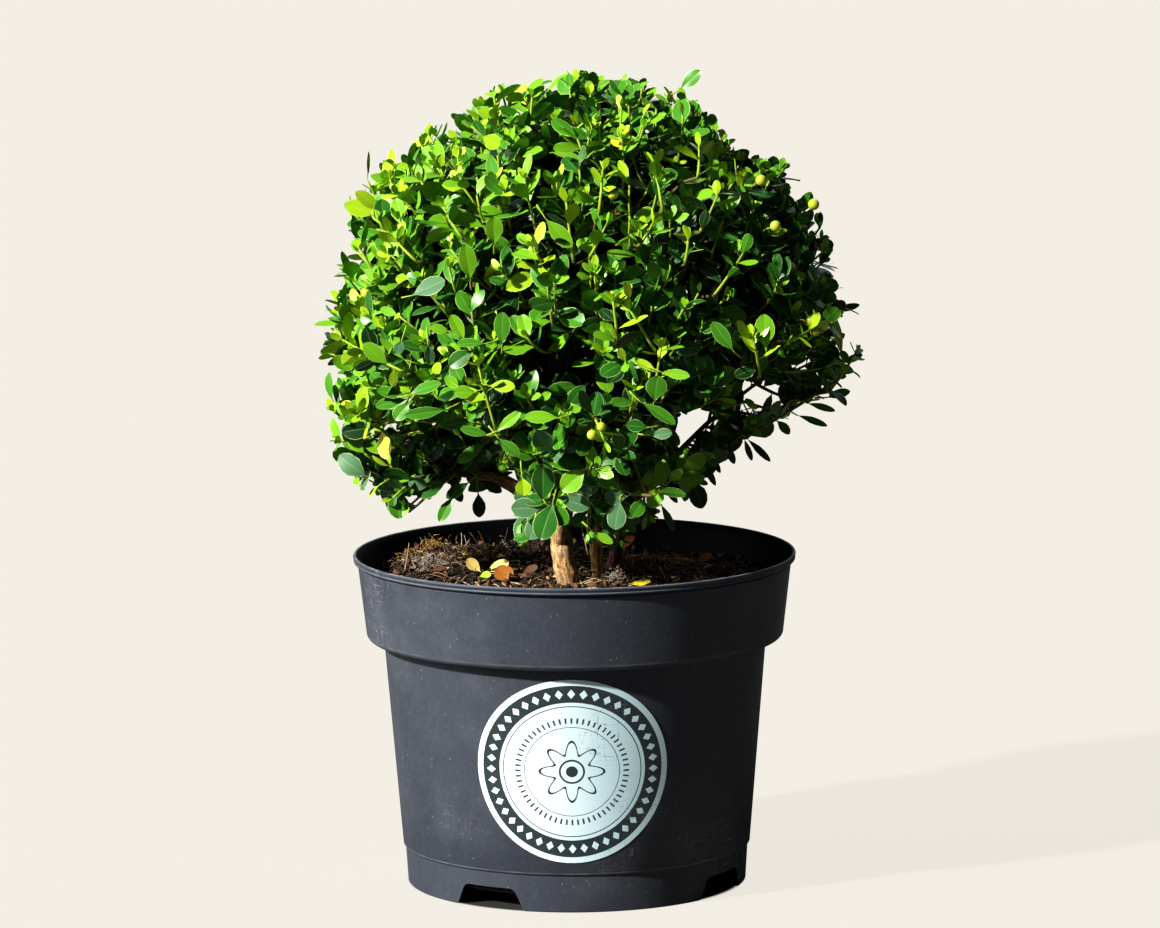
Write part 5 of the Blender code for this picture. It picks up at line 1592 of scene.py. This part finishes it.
def make_fallen_leaves(rng):
    """Fallen leaves on the compost: each spot is the pixels of the leaf's root and tip, and its width share."""
    verts, faces, slots = leaf_template()
    kinds = (
        ("cream", (0.62, 0.45, 0.15), (
            (481, 575, 466, 560, 0.66), (486, 574, 510, 565, 0.62), (468, 558, 462, 551, 0.5), (560, 545, 576, 540, 0.5))),
        ("orange", (0.34, 0.12, 0.010), (
            (509, 583, 497, 567, 0.92), (514, 577, 507, 567, 0.5), (694, 564, 712, 556, 0.5), (620, 541, 634, 536, 0.5))),
        ("brown", (0.10, 0.04, 0.016), (
            (522, 575, 538, 567, 0.5), (544, 562, 560, 556, 0.55), (526, 548, 546, 539, 0.6), (430, 574, 446, 568, 0.4),
            (622, 566, 640, 558, 0.4), (545, 574, 558, 568, 0.45))),
        ("lemon", (0.74, 0.58, 0.03), ((629, 587, 651, 583, 0.45), (506, 560, 497, 556, 0.5))),
        ("lime", (0.34, 0.55, 0.04), ((479, 579, 491, 575, 0.75),)),
    )
    for name, colour, spots in kinds:
        fallen = Leaves()
        for root_x, root_y, tip_x, tip_y, share in spots:
            root = on_compost(root_x, root_y) + UP * MM
            tip = seen_at(tip_x, tip_y, root.y / MM + 3.0)
            heading = (tip - root).normalized()
            tilt = Vector((-0.25, -0.8, 0.9)) + Vector((rng.gauss(0.0, 0.2), rng.gauss(0.0, 0.2), 0.0))
            normal = (tilt - heading * tilt.dot(heading)).normalized()
            length = (tip - root).length
            fallen.add(root, heading, normal, length, length * share, rng.uniform(-0.2, 0.1), 0.4)
        rib = tuple(min(part * 1.3, 1.0) for part in colour)
        finishes = [plain_material(f"fallen_{name}_{kind}", shade, 0.6) for kind, shade in
                    (("blade", colour), ("rib", rib), ("edge", colour))]
        mesh = joined_copies(f"fallen_{name}", faces, slots, fallen.clouds(verts), *finishes)
        finished(f"fallen_{name}", mesh, "compost")


# The floor, the light and the camera

def floor_material():
    """Plain pale floor: it shows bright, throws little light back up, and has painted shade under the pot, where its
    glow is cut to black.
    """
    made, graph, shader = patterned_material("floor", 0.9)
    shader.inputs["Base Color"].default_value = (*FLOOR_COLOUR, 1.0)
    shader.inputs["Specular IOR Level"].default_value = 0.0
    shader.inputs["Emission Strength"].default_value = FLOOR_GLOW_STRENGTH
    where = graph.node("ShaderNodeTexCoord").outputs["Object"]
    far = graph.node("ShaderNodeVectorMath", operation="LENGTH")
    graph.put(far.inputs[0], where)
    # Painted shade: no glow within the pot's foot, so the notches show black.
    outside_painted_shade = graph.between(far.outputs["Value"], FOOT_RADIUS - 3.0 * MM, FOOT_RADIUS + 1.0 * MM)
    graph.put(shader.inputs["Emission Color"], graph.mix(outside_painted_shade, (0.0, 0.0, 0.0), FLOOR_GLOW))
    dim = graph.node("ShaderNodeBsdfDiffuse")
    dim.inputs["Color"].default_value = (*FLOOR_BOUNCE, 1.0)
    seen = graph.node("ShaderNodeLightPath").outputs["Is Camera Ray"]
    mix = graph.node("ShaderNodeMixShader")
    graph.put(mix.inputs["Fac"], seen)
    graph.put(mix.inputs[1], dim.outputs[0])
    graph.put(mix.inputs[2], shader.outputs[0])
    output = [node for node in made.node_tree.nodes if node.type == "OUTPUT_MATERIAL"][0]
    graph.put(output.inputs["Surface"], mix.outputs[0])
    return made


def sun_lamp(name, travel, power, softness, colour):
    """A light from far off that travels this way; softness is its width in degrees."""
    lamp = bpy.data.lights.new(name, "SUN")
    lamp.energy = power
    lamp.angle = math.radians(softness)
    lamp.color = colour
    holder = bpy.data.objects.new(name, lamp)
    holder.rotation_euler = travel.normalized().to_track_quat("-Z", "Y").to_euler()
    bpy.context.scene.collection.objects.link(holder)


def make_studio():
    """A plain pale floor, a key light at the upper left, a soft light behind and a dim sky."""
    shape = bmesh.new()
    bmesh.ops.create_grid(shape, x_segments=1, y_segments=1, size=20.0)
    floor = bpy.data.objects.new("floor", mesh_of("floor", shape, floor_material()))
    bpy.context.scene.collection.objects.link(floor)
    sun_lamp("key", KEY_TRAVEL, KEY_POWER, KEY_SOFTNESS, (1.0, 0.97, 0.90))
    sun_lamp("side_soft", SIDE_TRAVEL, SIDE_POWER, SIDE_SOFTNESS, (0.92, 0.96, 1.0))
    sun_lamp("back_soft", BACK_TRAVEL, BACK_POWER, BACK_SOFTNESS, (0.90, 0.95, 1.0))
    world = bpy.data.worlds.new("studio")
    world.use_nodes = True
    back = world.node_tree.nodes["Background"]
    back.inputs["Color"].default_value = (0.80, 0.88, 1.0, 1.0)
    back.inputs["Strength"].default_value = WORLD_STRENGTH
    bpy.context.scene.world = world
    bpy.context.scene.view_settings.view_transform = "Standard"
    bpy.context.scene.view_settings.look = LOOK


def make_camera():
    """The camera at the photograph's place, with its framing set by the shift."""
    lens = bpy.data.cameras.new("camera")
    lens.sensor_width = SENSOR
    lens.lens = FOCAL_PIXELS * SENSOR / PHOTO_WIDTH
    lens.shift_x = (PHOTO_WIDTH / 2 - MIDDLE_PIXEL[0]) / PHOTO_WIDTH
    lens.shift_y = (MIDDLE_PIXEL[1] - PHOTO_HEIGHT / 2) / PHOTO_WIDTH
    lens.clip_end = 100.0
    camera = bpy.data.objects.new("camera", lens)
    forward = Vector((0.0, math.cos(CAMERA_PITCH), -math.sin(CAMERA_PITCH)))
    right = Vector((1.0, 0.0, 0.0))
    up = right.cross(forward)
    x_axis = right * math.cos(CAMERA_ROLL) + up * math.sin(CAMERA_ROLL)
    y_axis = up * math.cos(CAMERA_ROLL) - right * math.sin(CAMERA_ROLL)
    turn = Matrix((x_axis, y_axis, -forward)).transposed()
    camera.matrix_world = Matrix.Translation(CAMERA_PLACE) @ turn.to_4x4()
    bpy.context.scene.collection.objects.link(camera)
    bpy.context.scene.camera = camera


def main():
    make_camera()
    make_studio()
    make_pot()
    make_label()
    make_soil()
    ground = random.Random(5)
    make_crumbs(ground)
    make_straws(ground)
    make_fallen_leaves(ground)
    limb_tips = make_limbs()
    plant = Plant(12)
    branches = grow_dome(plant, limb_tips)
    grow_missed_shoots(plant, branches)
    grow_face(plant, branches)
    grow_sprays(plant, limb_tips)
    grow_low_shoots(plant)
    grow_berries(plant)
    dress_plant(plant)


main()
